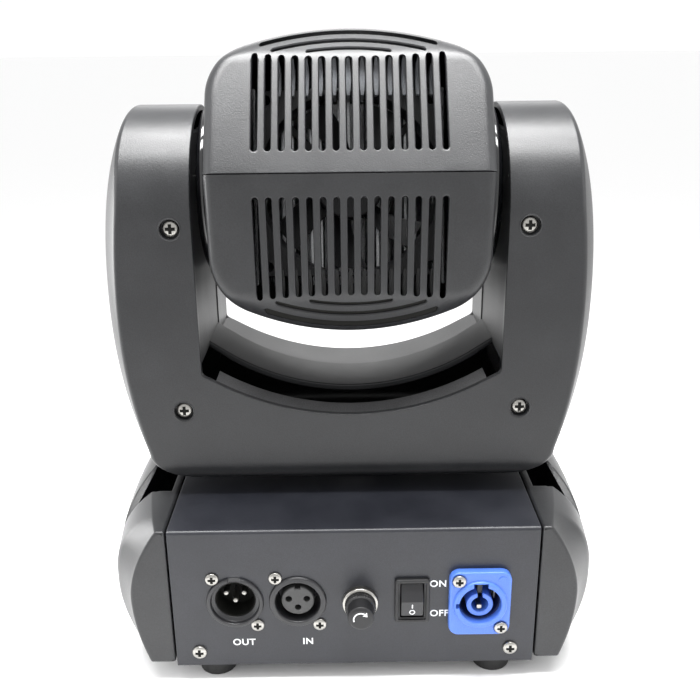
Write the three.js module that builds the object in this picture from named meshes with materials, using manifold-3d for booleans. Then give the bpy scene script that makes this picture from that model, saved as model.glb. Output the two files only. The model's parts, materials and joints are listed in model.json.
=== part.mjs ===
// A compact moving head light: a base with the connectors and the electronics, a yoke that pans
// on it and a head that tilts in the yoke. Millimetres, +Z up. The pan axis is the Z axis, the
// feet stand on Z = 0, the connector panel faces -Y and the display panel faces +Y.

import * as THREE from 'three';
import { mergeVertices } from 'three/addons/utils/BufferGeometryUtils.js';
import Module from 'manifold-3d';

const wasm = await Module();
wasm.setup();

// ---- driving dimensions -------------------------------------------------------------------

const GAP = 0.3; // clearance between neighbouring pieces
const WALL = 2.5; // moulded plastic
const SHEET = 1.5; // bent sheet metal
const ROUND = 20; // sides of a large round

const FOOT = { radius: 8.5, height: 8.2, x: 63.5, inset: 12 };

const BASE = { rear: -75, front: 86, halfWidth: 80.4, bottom: 8.5, top: 77.3, bend: 1.6 };
const BASE_MID = ( BASE.rear + BASE.front ) / 2;

const CAP = { inner: 81.1, bottom: 10, endWidth: 98.6, sideWidth: 112, bellyHeight: 43.3, chamfer: 15 };
const CAP_EDGE = { halfWidth: 97.2, radius: 270 }; // plan arc of the cap's top outer edge
const POCKET = { inner: 84.5, floor: 27, half: 43.5, lip: 1.2, bar: 4, dipReach: 50.5, dipStart: 13.5,
	dip: 17 };

const CONNECTOR_Z = 41.9;
const XLR = { outX: - 52.6, inX: - 25, radius: 11.9, screwX: 9.5, screwZ: 12, depth: 25 };
const FUSE = { x: 2.5, z: 41.3, flange: 7.8, body: 6.2, cap: 5.8, reach: 13 };
const SWITCH = { x: 25.3, z: 42.1, width: 15.3, height: 22, rim: 2, openWidth: 10.4, openHeight: 17.4,
	rest: - 8 };
const INLET = { x: 54.9, z: 41.4, width: 27, height: 32, corner: 5, proud: 3.6, ring: 12, socket: 9.2,
	core: 5.8 };
const PANEL_SCREW = { x: 69.8, z: 15.9 };

const DISPLAY = { width: 50, height: 22, x: - 14, z: 45 };
const BUTTON = { radius: 3.6, x: 34, pitch: 13, z: 45, travel: 1.5, proud: 1.8 };

const YOKE = { half: 45, bottom: 84, armRadius: 44.6, armCentre: 204, innerWall: 65.5, crown: 11 };
const TILT = { z: 211, rest: 14 }; // height of the tilt axis and the droop of the beam at rest
const FRAME = { half: 15, wall: 66, thickness: 3, floor: 120.3, floorRadius: 106, corner: 143 };
const LIP = { floor: 118, radius: 120, corner: 137 };
const COVER_SCREW = { x: 74.5, low: 120.2, high: 201.7, recess: 4.25, depth: 3 };

const PAN = { shaft: 12, bearing: 19, pulley: 26, motorY: 44, beltZ: 62, beltWidth: 6, smallPulley: 7 };
const DRIVE = { x: 87.2, beltWidth: 6, pulley: 21, smallPulley: 7, motorZ: 142, motorSize: 35,
	motorDepth: 14 };
const HUB = { disc: 37, neck: 11, flange: 19, shaft: 6, bearing: 11, faceX: 59.4, discWidth: 5 };

const HEAD = { half: 57.6, ridge: 63, edgeY: 47.2, edgeZ: 48, bevelY: 32.5, top: 63.2, front: 46,
	archRadius: 108, corner: 24 };
const SLOT = { count: 15, pitch: 5.34, width: 2.6, start: 8.9, end: 47.8 };
const LENS = { count: 6, radius: 12.4, ring: 29, maskRadius: 45.6, maskY: 50 };
const FAN = { size: 80, depth: 15, front: - 20, hole: 38, hub: 15, blades: 7 };
const SINK = { half: 47.5, baseFront: 38, base: 5, finRear: - 4, fin: 1.6, fins: 13 };

// ---- colours ------------------------------------------------------------------------------

const LOOKS = {
	shell: [ 0x4b4c4f, 0.55, 0 ],
	sheet: [ 0x3f4046, 0.6, 0.2 ],
	gloss: [ 0x0d0d0e, 0.15, 0 ],
	matte: [ 0x17181a, 0.7, 0 ],
	rubber: [ 0x141414, 0.9, 0 ],
	blue: [ 0x5b8fe6, 0.4, 0 ],
	grey: [ 0x8c8c8a, 0.6, 0 ],
	steel: [ 0xb9b9bb, 0.3, 1 ],
	aluminium: [ 0xc6c8ca, 0.35, 1 ],
	board: [ 0x1d5a34, 0.6, 0 ],
	lens: [ 0xe6eef2, 0.05, 0 ],
};

// ---- solids -------------------------------------------------------------------------------

/** A closed geometry as a solid with its faces pointing out. */
function solid( geometry ) {

	const bare = geometry.clone();
	bare.deleteAttribute( 'normal' );
	bare.deleteAttribute( 'uv' );
	const merged = mergeVertices( bare, 1e-4 );
	const p = merged.attributes.position;
	const corner = ( i ) => new THREE.Vector3().fromBufferAttribute( p, i );
	const kept = [];
	let volume = 0;
	for ( let i = 0; i < merged.index.count; i += 3 ) {

		const [ a, b, c ] = [ 0, 1, 2 ].map( ( k ) => merged.index.getX( i + k ) );
		if ( a === b || b === c || a === c ) continue;
		volume += corner( a ).dot( corner( b ).cross( corner( c ) ) );
		kept.push( [ a, b, c ] );

	}

	const faces = volume < 0 ? kept.map( ( [ a, b, c ] ) => [ a, c, b ] ) : kept;
	return new wasm.Manifold( new wasm.Mesh( {
		numProp: 3,
		vertProperties: Float32Array.from( p.array ),
		triVerts: Uint32Array.from( faces.flat() ),
	} ) );

}

/** A solid's surface as a flat-shaded geometry. */
function surface( body ) {

	const mesh = body.getMesh();
	const [ position, index ] = [ Float32Array.from( mesh.vertProperties ), Uint32Array.from( mesh.triVerts ) ];
	const geometry = new THREE.BufferGeometry();
	geometry.setAttribute( 'position', new THREE.BufferAttribute( position, 3 ) );
	geometry.setIndex( new THREE.BufferAttribute( index, 1 ) );
	geometry.computeVertexNormals();
	return geometry;

}

const join = ( ...bodies ) => bodies.reduce( ( all, next ) => all.add( next ) );
const cut = ( body, ...tools ) => tools.reduce( ( left, tool ) => left.subtract( tool ), body );
const mirrorX = ( body ) => solid( surface( body ).scale( - 1, 1, 1 ) );
const mirrorY = ( body ) => solid( surface( body ).scale( 1, - 1, 1 ) );
const mirrorZ = ( body ) => solid( surface( body ).scale( 1, 1, - 1 ) );
const moved = ( body, x, y, z ) => solid( surface( body ).translate( x, y, z ) );

/** A box between two corners, given as ranges. */
function box( [ x0, x1 ], [ y0, y1 ], [ z0, z1 ] ) {

	const geometry = new THREE.BoxGeometry( x1 - x0, y1 - y0, z1 - z0 );
	return solid( geometry.translate( ( x0 + x1 ) / 2, ( y0 + y1 ) / 2, ( z0 + z1 ) / 2 ) );

}

const basis = ( ...axes ) =>
	new THREE.Matrix4().makeBasis( ...axes.map( ( v ) => new THREE.Vector3( ...v ) ) );

// Each turn takes an extrusion's own Z to the named axis.
const TURN = {
	x: basis( [ 0, 1, 0 ], [ 0, 0, 1 ], [ 1, 0, 0 ] ),
	y: basis( [ 1, 0, 0 ], [ 0, 0, 1 ], [ 0, - 1, 0 ] ),
	z: new THREE.Matrix4(),
};

const flat = ( outline ) => outline.map( ( [ a, b ] ) => new THREE.Vector2( a, b ) );

/** An outline extruded along an axis. It is drawn in YZ for x, in XZ for y and in XY for z. */
function prism( axis, outline, from, to ) {

	const shape = new THREE.Shape( flat( outline ) );
	const geometry = new THREE.ExtrudeGeometry( shape, { depth: to - from, bevelEnabled: false } );
	geometry.applyMatrix4( TURN[ axis ] );
	const start = axis === 'y' ? [ 0, to, 0 ] : axis === 'x' ? [ from, 0, 0 ] : [ 0, 0, from ];
	return solid( geometry.translate( ...start ) );

}

/** A turned solid on an axis. The profile holds radius and distance along the axis. */
function turned( axis, profile, at = [ 0, 0, 0 ], sides = ROUND ) {

	const geometry = new THREE.LatheGeometry( flat( profile ), sides );
	if ( axis === 'x' ) geometry.rotateZ( - Math.PI / 2 );
	if ( axis === 'z' ) geometry.rotateX( Math.PI / 2 );
	return solid( geometry.translate( ...at ) );

}

const rod = ( axis, radius, from, to, at, sides ) =>
	turned( axis, [ [ 0, from ], [ radius, from ], [ radius, to ], [ 0, to ] ], at, sides );

function ring( axis, inner, outer, from, to, at, sides ) {

	const profile = [ [ inner, from ], [ outer, from ], [ outer, to ], [ inner, to ], [ inner, from ] ];
	return turned( axis, profile, at, sides );

}

/** A skin over a row of closed outlines in XZ, each with its own y. */
function loft( stations ) {

	const count = stations[ 0 ].outline.length;
	const position = stations.flatMap( ( { y, outline } ) => outline.flatMap( ( [ x, z ] ) => [ x, y, z ] ) );
	const index = [];
	for ( let s = 0; s < stations.length - 1; s ++ ) {

		for ( let i = 0; i < count; i ++ ) {

			const a = s * count + i;
			const b = s * count + ( i + 1 ) % count;
			index.push( a, b, b + count, a, b + count, a + count );

		}

	}

	const addEnd = ( outline, first, wanted ) => {

		const points = flat( outline );
		for ( const [ a, b, c ] of THREE.ShapeUtils.triangulateShape( points, [] ) ) {

			const area = THREE.ShapeUtils.area( [ points[ a ], points[ b ], points[ c ] ] );
			const face = Math.sign( area ) === wanted ? [ a, b, c ] : [ a, c, b ];
			index.push( ...face.map( ( i ) => i + first ) );

		}

	};

	const sense = Math.sign( THREE.ShapeUtils.area( flat( stations[ 0 ].outline ) ) );
	addEnd( stations[ 0 ].outline, 0, - sense );
	addEnd( stations.at( - 1 ).outline, ( stations.length - 1 ) * count, sense );
	const geometry = new THREE.BufferGeometry();
	geometry.setAttribute( 'position', new THREE.Float32BufferAttribute( position, 3 ) );
	geometry.setIndex( index );
	return solid( geometry );

}

/** Points on an arc, both ends included. Angles in degrees. */
function arc( cx, cy, radius, from, to, steps ) {

	return Array.from( { length: steps + 1 }, ( _, i ) => {

		const angle = THREE.MathUtils.degToRad( from + ( to - from ) * i / steps );
		return [ cx + radius * Math.cos( angle ), cy + radius * Math.sin( angle ) ];

	} );

}

const circle = ( cx, cy, radius, sides = ROUND ) => arc( cx, cy, radius, 0, 360, sides ).slice( 0, sides );

/** A rectangle with round corners, anticlockwise. */
function roundedBox( cx, cy, width, height, radius, steps = 3 ) {

	const [ x, y ] = [ width / 2 - radius, height / 2 - radius ];
	const corners = [ [ x, y, 0 ], [ - x, y, 90 ], [ - x, - y, 180 ], [ x, - y, 270 ] ];
	return corners.flatMap( ( [ dx, dy, start ] ) =>
		arc( cx + dx, cy + dy, radius, start, start + 90, steps ) );

}

/** A height above an arch that falls away from its crown at x = 0. */
const arch = ( crown, radius, x ) => crown - radius + Math.sqrt( radius * radius - x * x );

/** Evenly spaced numbers, both ends included. */
const spread = ( from, to, steps ) => Array.from( { length: steps + 1 },
	( _, i ) => from + ( to - from ) * i / steps );

// ---- assembly -----------------------------------------------------------------------------

const light = new THREE.Group();
light.name = 'moving_head_light';
const tiltGroup = new THREE.Group();
tiltGroup.position.z = TILT.z;
tiltGroup.rotation.x = - THREE.MathUtils.degToRad( TILT.rest );
light.add( tiltGroup );

function add( name, look, body, group = light ) {

	const [ color, roughness, metalness ] = LOOKS[ look ];
	const mesh = new THREE.Mesh( surface( body ),
		new THREE.MeshStandardMaterial( { color, roughness, metalness } ) );
	mesh.name = name;
	group.add( mesh );
	return mesh;

}

/** A pan-head screw along an axis; its head starts at seat and points to -axis. */
function screw( axis, seat, at, head = 3.2, shank = 1.5, length = 8, height = 1.8 ) {

	const profile = [ [ 0, seat - height ], [ head * 0.7, seat - height ], [ head, seat - height * 0.45 ],
		[ head, seat ], [ shank, seat ], [ shank, seat + length ], [ 0, seat + length ] ];
	return turned( axis, profile, at, 10 );

}

// ---- base ---------------------------------------------------------------------------------

function makeFeet() {

	const rows = { rear: BASE.rear + FOOT.inset, front: BASE.front - FOOT.inset };
	for ( const [ row, y ] of Object.entries( rows ) ) {

		for ( const [ side, sign ] of [ [ 'left', - 1 ], [ 'right', 1 ] ] ) {

			const profile = [ [ 0, 0 ], [ FOOT.radius - 1, 0 ], [ FOOT.radius, 1 ],
				[ FOOT.radius - 0.6, FOOT.height ], [ 0, FOOT.height ] ];
			add( `${ row }_${ side }_foot`, 'rubber', turned( 'z', profile, [ sign * FOOT.x, y, 0 ], 20 ) );

		}

	}

}

/** The sheet that wraps the base: connector panel, top and display panel, bent in one piece. */
function makeBaseCover() {

	const { rear, front, bottom, top, bend, halfWidth } = BASE;
	const outer = [ [ rear, bottom ], ...arc( rear + bend, top - bend, bend, 180, 90, 2 ),
		...arc( front - bend, top - bend, bend, 90, 0, 2 ), [ front, bottom ] ];
	const inner = [ [ front - SHEET, bottom ], [ front - SHEET, top - SHEET ],
		[ rear + SHEET, top - SHEET ], [ rear + SHEET, bottom ] ];
	const through = [ rear - 1, rear + 4 ];
	const holes = [ XLR.outX, XLR.inX ].map( ( x ) => rod( 'y', XLR.radius + GAP, ...through,
		[ x, 0, CONNECTOR_Z ] ) );
	holes.push( rod( 'y', FUSE.body + GAP, ...through, [ FUSE.x, 0, FUSE.z ] ) );
	holes.push( box( [ SWITCH.x - 6.9, SWITCH.x + 6.9 ], through, [ SWITCH.z - 10, SWITCH.z + 10 ] ) );
	holes.push( rod( 'y', INLET.ring + GAP, ...through, [ INLET.x, 0, INLET.z ] ) );
	for ( const [ x, z ] of panelScrewPlaces().concat( connectorScrewPlaces() ) ) {

		holes.push( rod( 'y', 1.5 + GAP, ...through, [ x, 0, z ], 8 ) );

	}

	const [ dx, dz ] = [ DISPLAY.width / 2 - 2, DISPLAY.height / 2 - 2 ];
	holes.push( box( [ DISPLAY.x - dx, DISPLAY.x + dx ], [ front - 4, front + 1 ],
		[ DISPLAY.z - dz, DISPLAY.z + dz ] ) );
	for ( const [ x, z ] of buttonPlaces() ) {

		holes.push( rod( 'y', BUTTON.radius + GAP, front - 4, front + 1, [ x, 0, z ], 12 ) );

	}

	holes.push( rod( 'z', PAN.bearing + GAP, top - 4, top + 1, [ 0, 0, 0 ] ) );
	add( 'base_cover', 'sheet', cut( prism( 'x', [ ...outer, ...inner ], - halfWidth, halfWidth ),
		...holes ) );

}

const panelScrewPlaces = () => [ - 1, 1 ].map( ( side ) => [ side * PANEL_SCREW.x, PANEL_SCREW.z ] );

function connectorScrewPlaces() {

	const centres = [ [ XLR.outX, CONNECTOR_Z ], [ XLR.inX, CONNECTOR_Z ], [ INLET.x, INLET.z ] ];
	return centres.flatMap( ( [ x, z ] ) => [ [ x - XLR.screwX, z + XLR.screwZ ],
		[ x + XLR.screwX, z - XLR.screwZ ] ] );

}

const buttonPlaces = () => [ 0, 1 ].flatMap( ( column ) =>
	[ 1, - 1 ].map( ( row ) => [ BUTTON.x + column * BUTTON.pitch * 1.3,
		BUTTON.z + row * BUTTON.pitch / 2 ] ) );

/** The floor of the base, with a tab at each panel screw. */
function makeBottomPlate() {

	const z = BASE.bottom + 0.2;
	const [ y0, y1 ] = [ BASE.rear + SHEET + GAP, BASE.front - SHEET - GAP ];
	const plate = box( [ - BASE.halfWidth, BASE.halfWidth ], [ y0, y1 ], [ z, z + SHEET ] );
	const tabs = panelScrewPlaces().map( ( [ x ] ) => box( [ x - 7, x + 7 ], [ y0, y0 + SHEET ],
		[ z, PANEL_SCREW.z + 6 ] ) );
	const holes = panelScrewPlaces().map( ( [ x, h ] ) => rod( 'y', 1.5 + GAP, y0 - 1, y0 + 4,
		[ x, 0, h ], 10 ) );
	add( 'bottom_plate', 'sheet', cut( join( plate, ...tabs ), ...holes ) );

}

/** How far a cap's side stands from the pan axis at a depth and a height. */
function capSide( y, z, atEnd ) {

	const fromMiddle = y - BASE_MID;
	const edge = CAP_EDGE.halfWidth - fromMiddle * fromMiddle / ( 2 * CAP_EDGE.radius );
	const belly = atEnd ? CAP.endWidth : CAP.sideWidth - fromMiddle * fromMiddle / 880;
	const height = Math.abs( z - CAP.bellyHeight ) / ( BASE.top - CAP.bellyHeight );
	const fall = z > CAP.bellyHeight ? height ** ( atEnd ? 1.9 : 5 ) : 0.5 * height ** 1.9;
	return edge + ( belly - edge ) * ( 1 - fall );

}

/** A cap's closed outline at one depth, drawn inwards by a wall thickness. */
function capOutline( y, atEnd, inset ) {

	const heights = [ ...spread( CAP.bottom + inset, CAP.bellyHeight, 3 ), 54, 62, 68, 73,
		BASE.top + 0.1 - inset ];
	const side = heights.map( ( z ) => [ capSide( y, z, atEnd ) - inset, z ] );
	const inner = CAP.inner - inset;
	return [ [ inner, CAP.bottom + inset ], ...side, [ inner, BASE.top + 0.1 - inset ] ];

}

function capBody( inset ) {

	const { rear, front } = BASE;
	const middle = spread( rear + CAP.chamfer, front - CAP.chamfer, 6 )
		.map( ( y ) => ( { y, outline: capOutline( y, false, inset ) } ) );
	const end = ( y, shift ) => ( { y: y + shift, outline: capOutline( y, true, inset ) } );
	return loft( [ end( rear, inset ), ...middle, end( front, - inset ) ] );

}

/** The hand pocket's space: a well behind the grab bar, drawn outwards by a wall thickness. */
function pocketWell( grow ) {

	const { inner, floor, half, lip, bar } = POCKET;
	const outline = ( y ) => {

		const side = [ floor - grow, 40, 52, 62, 69 ]
			.map( ( z ) => [ capSide( y, z, false ) - bar + grow, z ] );
		const edge = capSide( y, BASE.top, false ) - lip;
		return [ [ inner - grow, floor - grow ], ...side, [ edge, BASE.top ], [ edge, BASE.top + 3 ],
			[ inner - grow, BASE.top + 3 ] ];

	};

	const ys = spread( BASE_MID - half - grow, BASE_MID + half + grow, 4 );
	return loft( ys.map( ( y ) => ( { y, outline: outline( y ) } ) ) );

}

/** The dip of the grab bar's edge at each end of the pocket. */
function pocketDip() {

	const { half, dipReach, dipStart, dip } = POCKET;
	const rim = spread( dipReach, dipStart, 5 ).map( ( s ) => {

		const share = ( s - dipStart ) / ( dipReach - dipStart );
		return [ s, BASE.top + 0.2 - dip * share ** 1.5 ];

	} );
	const outline = [ [ half, BASE.top + 2 ], ...rim, [ dipStart, BASE.top + 2 ] ];
	const oneEnd = prism( 'x', outline, 91, 125 );
	return [ moved( oneEnd, 0, BASE_MID, 0 ), moved( mirrorY( oneEnd ), 0, BASE_MID, 0 ) ];

}

function makeEndCaps() {

	const shell = cut( capBody( 0 ), capBody( WALL ) );
	const corners = [ - 1, 1 ].map( ( side ) => {

		const reaches = [ POCKET.half - 4, POCKET.dipReach + 3 ];
		const ys = reaches.map( ( reach ) => BASE_MID + side * reach ).sort( ( a, b ) => a - b );
		return box( [ 88, 125 ], ys, [ BASE.top - POCKET.dip - 4, BASE.top + 2 ] );

	} );
	const lining = capBody( 0 ).intersect( join( pocketWell( WALL ), ...corners ) );
	const right = cut( join( shell, lining ), pocketWell( 0 ), ...pocketDip() );
	add( 'right_end_cap', 'shell', right );
	add( 'left_end_cap', 'shell', mirrorX( right ) );

}

/** A chassis socket, round, mounted from behind the panel; pins stand up in the male one. */
function makeXlrSocket( name, look, x, pins ) {

	const { radius, screwX, screwZ, depth } = XLR;
	const { rear } = BASE;
	const at = [ x, 0, CONNECTOR_Z ];
	const back = rear + SHEET + GAP;
	const barrel = join( rod( 'y', radius, rear - 0.8, rear + depth, at, 24 ),
		box( [ x - 13, x + 13 ], [ back, back + 2 ], [ CONNECTOR_Z - 15.5, CONNECTOR_Z + 15.5 ] ) );
	const screws = [ - 1, 1 ].map( ( s ) => rod( 'y', 1.8, back - 1, back + 9,
		[ x + s * screwX, 0, CONNECTOR_Z - s * screwZ ], 10 ) );
	const contact = ( angle ) => [ x + 3.7 * Math.sin( angle ), 0,
		CONNECTOR_Z - 1 + 3.7 * Math.cos( angle ) ];
	const contacts = [ - 2, 0, 2 ].map( ( k ) => contact( k * Math.PI / 3 ) );
	if ( pins ) {

		const well = rod( 'y', radius - 2.2, rear - 1, rear + 12, at, 24 );
		add( name, look, join( cut( barrel, well, ...screws ),
			...contacts.map( ( c ) => rod( 'y', 1.2, rear + 2, rear + 13, c, 10 ) ) ) );

	} else {

		const groove = ring( 'y', radius - 4, radius - 1.6, rear - 1, rear + 12, at, 24 );
		const holes = contacts.map( ( c ) => rod( 'y', 1.4, rear - 2, rear + 10, c, 10 ) );
		add( name, look, cut( barrel, groove, ...holes, ...screws ) );

	}

}

/** The fuse holder's body, with a collar on the panel and a well that the cap's stem turns in. */
function makeFuseHolder() {

	const { x, z, flange, body } = FUSE;
	const { rear } = BASE;
	const at = [ x, 0, z ];
	const profile = [ [ 0, rear - 2.6 ], [ flange - 0.6, rear - 2.6 ], [ flange, rear - 1.8 ],
		[ flange, rear - GAP ], [ body, rear - GAP ], [ body, rear + 26 ], [ 0, rear + 26 ] ];
	const well = rod( 'y', 4.3, rear - 4, rear + 23, at, 20 );
	add( 'fuse_holder', 'steel', cut( turned( 'y', profile, at, 20 ), well ) );

}

/** The knurled fuse cap with its stem. It turns a quarter to lock. */
function makeFuseCap() {

	const { x, z, cap, reach } = FUSE;
	const face = BASE.rear - reach;
	const seat = BASE.rear - 2.6 - GAP;
	const knurl = Array.from( { length: 32 }, ( _, i ) => {

		const angle = i * Math.PI / 16;
		const r = i % 2 ? cap : cap - 0.5;
		return [ x + r * Math.cos( angle ), z + r * Math.sin( angle ) ];

	} );
	const stem = rod( 'y', 4, seat - 1, BASE.rear + 20, [ x, 0, z ], 20 );
	const slot = box( [ x - 4.4, x + 4.4 ], [ face - 1, face + 1 ], [ z - 0.6, z + 0.6 ] );
	add( 'fuse_cap', 'matte', cut( join( prism( 'y', knurl, face, seat ), stem ), slot ) );

}

function makeSwitch() {

	const { x, z, width, height, rim, openWidth, openHeight, rest } = SWITCH;
	const { rear } = BASE;
	const bezel = prism( 'y', roundedBox( x, z, width, height, 1.2, 2 ), rear - rim, rear - GAP );
	const body = box( [ x - 6.6, x + 6.6 ], [ rear - GAP - 0.5, rear + 16 ], [ z - 9.7, z + 9.7 ] );
	const well = box( [ x - openWidth / 2, x + openWidth / 2 ], [ rear - 5, rear + 9 ],
		[ z - openHeight / 2, z + openHeight / 2 ] );
	add( 'switch_bezel', 'matte', cut( join( bezel, body ), well ) );

	const [ halfWidth, halfHeight ] = [ openWidth / 2 - GAP, openHeight / 2 - 0.9 ];
	const outline = [ [ 5, - 3 ], [ 5, 3 ], [ 0.4, halfHeight ], [ - 1.4, halfHeight ], [ - 4, 0 ],
		[ - 1.4, - halfHeight ], [ 0.4, - halfHeight ] ];
	const rocker = surface( prism( 'x', outline, - halfWidth, halfWidth ) );
	rocker.rotateX( THREE.MathUtils.degToRad( rest ) );
	add( 'switch_rocker', 'gloss', solid( rocker.translate( x, rear + 0.6, z ) ) );

}

/** The twist-lock mains inlet: a flange, a raised ring, a keyed well and a round core. */
function makeMainsInlet() {

	const { x, z, width, height, corner, proud, ring: collar, socket, core } = INLET;
	const { rear } = BASE;
	const at = [ x, 0, z ];
	const flange = prism( 'y', roundedBox( x, z, width, height, corner, 3 ), rear - proud, rear - GAP );
	const barrel = rod( 'y', collar - 0.4, rear - proud - 1.2, rear + 24, at, 24 );
	const well = rod( 'y', socket, rear - proud - 3, rear + 16, at, 20 );
	const key = box( [ x - 3.2, x + 3.2 ], [ rear - proud - 3, rear + 14 ],
		[ z + socket - 2, z + socket + 1.8 ] );
	const sideKey = box( [ x - socket - 1.5, x - socket + 2 ], [ rear - proud - 3, rear + 14 ],
		[ z - 1.2, z + 1.2 ] );
	const post = ring( 'y', core - 1.6, core, rear - 1, rear + 17, at, 16 );
	const contacts = [ - 1, 1 ].map( ( s ) => box( [ x + s * 1.8 - 0.5, x + s * 1.8 + 0.5 ],
		[ rear + 3, rear + 17 ], [ z - 1.6, z + 1.6 ] ) );
	const screws = [ - 1, 1 ].map( ( s ) => rod( 'y', 1.8, rear - 8, rear + 3,
		[ x + s * XLR.screwX, 0, z - s * XLR.screwZ ], 10 ) );
	const shell = cut( join( flange, barrel ), well, key, sideKey, ...screws );
	add( 'mains_inlet', 'blue', join( shell, post, ...contacts ) );

}

function makePanelScrews() {

	const { rear } = BASE;
	panelScrewPlaces().forEach( ( [ x, z ], i ) => add( `panel_screw_${ i + 1 }`, 'steel',
		screw( 'y', rear - 0.1, [ x, 0, z ] ) ) );
	connectorScrewPlaces().forEach( ( [ x, z ], i ) => {

		const seat = i < 4 ? rear - 0.1 : rear - INLET.proud - 0.1;
		const [ head, length ] = i < 4 ? [ 2.9, 7 ] : [ 2.8, 10 ];
		add( `connector_screw_${ i + 1 }`, 'steel',
			screw( 'y', seat, [ x, 0, z ], head, 1.5, length, 1.6 ) );

	} );

}

/** The display behind its window and the four keys that press its switches. */
function makeControls() {

	const { front } = BASE;
	const { width, height, x, z } = DISPLAY;
	const pane = prism( 'y', roundedBox( x, z, width, height, 3, 2 ), front + GAP, front + 1.6 );
	add( 'display_window', 'gloss', pane );
	const glass = box( [ x - 22, x + 22 ], [ front - 8, front - SHEET - GAP ], [ z - 8, z + 8 ] );
	const board = box( [ x - 32, 62 ], [ front - 9.6, front - 8 ], [ z - 18, z + 18 ] );
	const switches = buttonPlaces().map( ( [ bx, bz ] ) => box( [ bx - 3, bx + 3 ],
		[ front - 8.2, front - 5.6 ], [ bz - 3, bz + 3 ] ) );
	add( 'display_board', 'board', join( board, glass, ...switches ) );
	[ 'mode', 'enter', 'up', 'down' ].forEach( ( name, i ) => {

		const [ bx, bz ] = buttonPlaces()[ i ];
		const { radius, proud, travel } = BUTTON;
		const back = front - 5.6 + travel + GAP;
		const profile = [ [ 0, back ], [ radius + 0.9, back ], [ radius + 0.9, back + 0.7 ],
			[ radius, back + 0.7 ], [ radius, front + proud - 0.6 ], [ radius - 0.6, front + proud ],
			[ 0, front + proud ] ];
		add( `${ name }_button`, 'matte', turned( 'y', profile, [ bx, 0, bz ], 12 ) );

	} );

}

/** Power supply, main board and pan motor, standing on the bottom plate. */
function makeBaseInside() {

	const floor = BASE.bottom + 0.2 + SHEET + GAP;
	const supply = join( box( [ - 74, - 26 ], [ - 42, 62 ], [ floor, floor + 2 ] ),
		box( [ - 72, - 28 ], [ - 38, 58 ], [ floor + 1, floor + 34 ] ) );
	add( 'power_supply', 'aluminium', supply );
	const board = box( [ 30, 76 ], [ - 40, 60 ], [ floor + 4, floor + 5.6 ] );
	const posts = [ [ 33, - 37 ], [ 73, - 37 ], [ 33, 57 ], [ 73, 57 ] ]
		.map( ( [ x, y ] ) => rod( 'z', 2.5, floor, floor + 4.5, [ x, y, 0 ], 10 ) );
	const chips = [ [ 36, - 30, 16, 14, 5 ], [ 58, - 30, 14, 20, 12 ], [ 38, 8, 20, 12, 4 ],
		[ 60, 24, 12, 24, 10 ] ]
		.map( ( [ x, y, w, d, h ] ) => box( [ x, x + w ], [ y, y + d ], [ floor + 5, floor + 5.6 + h ] ) );
	add( 'main_board', 'board', join( board, ...posts, ...chips ) );
	const { motorY, beltZ, beltWidth, smallPulley, pulley } = PAN;
	const top = beltZ - beltWidth / 2 - 3;
	const motor = join( prism( 'z', roundedBox( 0, motorY, 42, 42, 4, 1 ), floor, top ),
		rod( 'z', 2.4, top - 1, beltZ + 5, [ 0, motorY, 0 ], 12 ) );
	add( 'pan_motor', 'steel', motor );
	add( 'pan_motor_pulley', 'aluminium', ring( 'z', 2.7, smallPulley, beltZ - 4, beltZ + 4,
		[ 0, motorY, 0 ], 20 ) );
	add( 'pan_belt', 'rubber', belt( 'z', [ 0, 0 ], pulley, [ 0, motorY ], smallPulley,
		beltZ - beltWidth / 2, beltZ + beltWidth / 2 ) );

}

/** A loop round two pulleys whose centres lie on a line along the outline's second axis. */
function belt( axis, [ ax, ay ], largeRadius, [ bx, by ], smallRadius, from, to ) {

	const distance = Math.hypot( bx - ax, by - ay );
	const heading = THREE.MathUtils.radToDeg( Math.atan2( by - ay, bx - ax ) );
	const loop = ( extra ) => {

		const [ large, small ] = [ largeRadius + extra, smallRadius + extra ];
		const open = THREE.MathUtils.radToDeg( Math.acos( ( large - small ) / distance ) );
		return [ ...arc( ax, ay, large, heading + open, heading + 360 - open, 20 ),
			...arc( bx, by, small, heading - open, heading + open, 8 ) ];

	};

	return cut( prism( axis, loop( 1.6 ), from, to ), prism( axis, loop( GAP ), from - 1, to + 1 ) );

}

/** The pan bearing sits in the top of the base and carries the hollow pan shaft. */
function makePanBearing() {

	const { bearing, shaft } = PAN;
	const { top } = BASE;
	const profile = [ [ shaft + GAP, top - 9 ], [ bearing + 6, top - 9 ],
		[ bearing + 6, top - SHEET - GAP ], [ bearing, top - SHEET - GAP ],
		[ bearing, top + 1.2 ], [ shaft + GAP, top + 1.2 ], [ shaft + GAP, top - 9 ] ];
	add( 'pan_bearing', 'steel', turned( 'z', profile ) );

}

// ---- yoke ---------------------------------------------------------------------------------

/** The pan shaft: a hollow spindle for the cables, with the pan pulley moulded on its foot. */
function makePanShaft() {

	const { shaft, beltZ, pulley, beltWidth } = PAN;
	const [ low, high ] = [ beltZ - beltWidth / 2, beltZ + beltWidth / 2 ];
	const collar = BASE.top + 1.5;
	const neck = YOKE.bottom + 4.6;
	const seat = YOKE.bottom - GAP;
	const profile = [ [ 7, low - 1.5 ], [ pulley + 1, low - 1.5 ], [ pulley + 1, low - GAP ],
		[ pulley, low - GAP ], [ pulley, high + 0.6 ], [ shaft, high + 0.6 ], [ shaft, collar ],
		[ 24, collar ], [ 24, seat ], [ 20, seat ], [ 20, neck ], [ 7, neck ], [ 7, low - 1.5 ] ];
	add( 'pan_shaft', 'steel', turned( 'z', profile, undefined, 24 ) );

}

const YOKE_BELLY = 165; // height at which the yoke is widest

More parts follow.
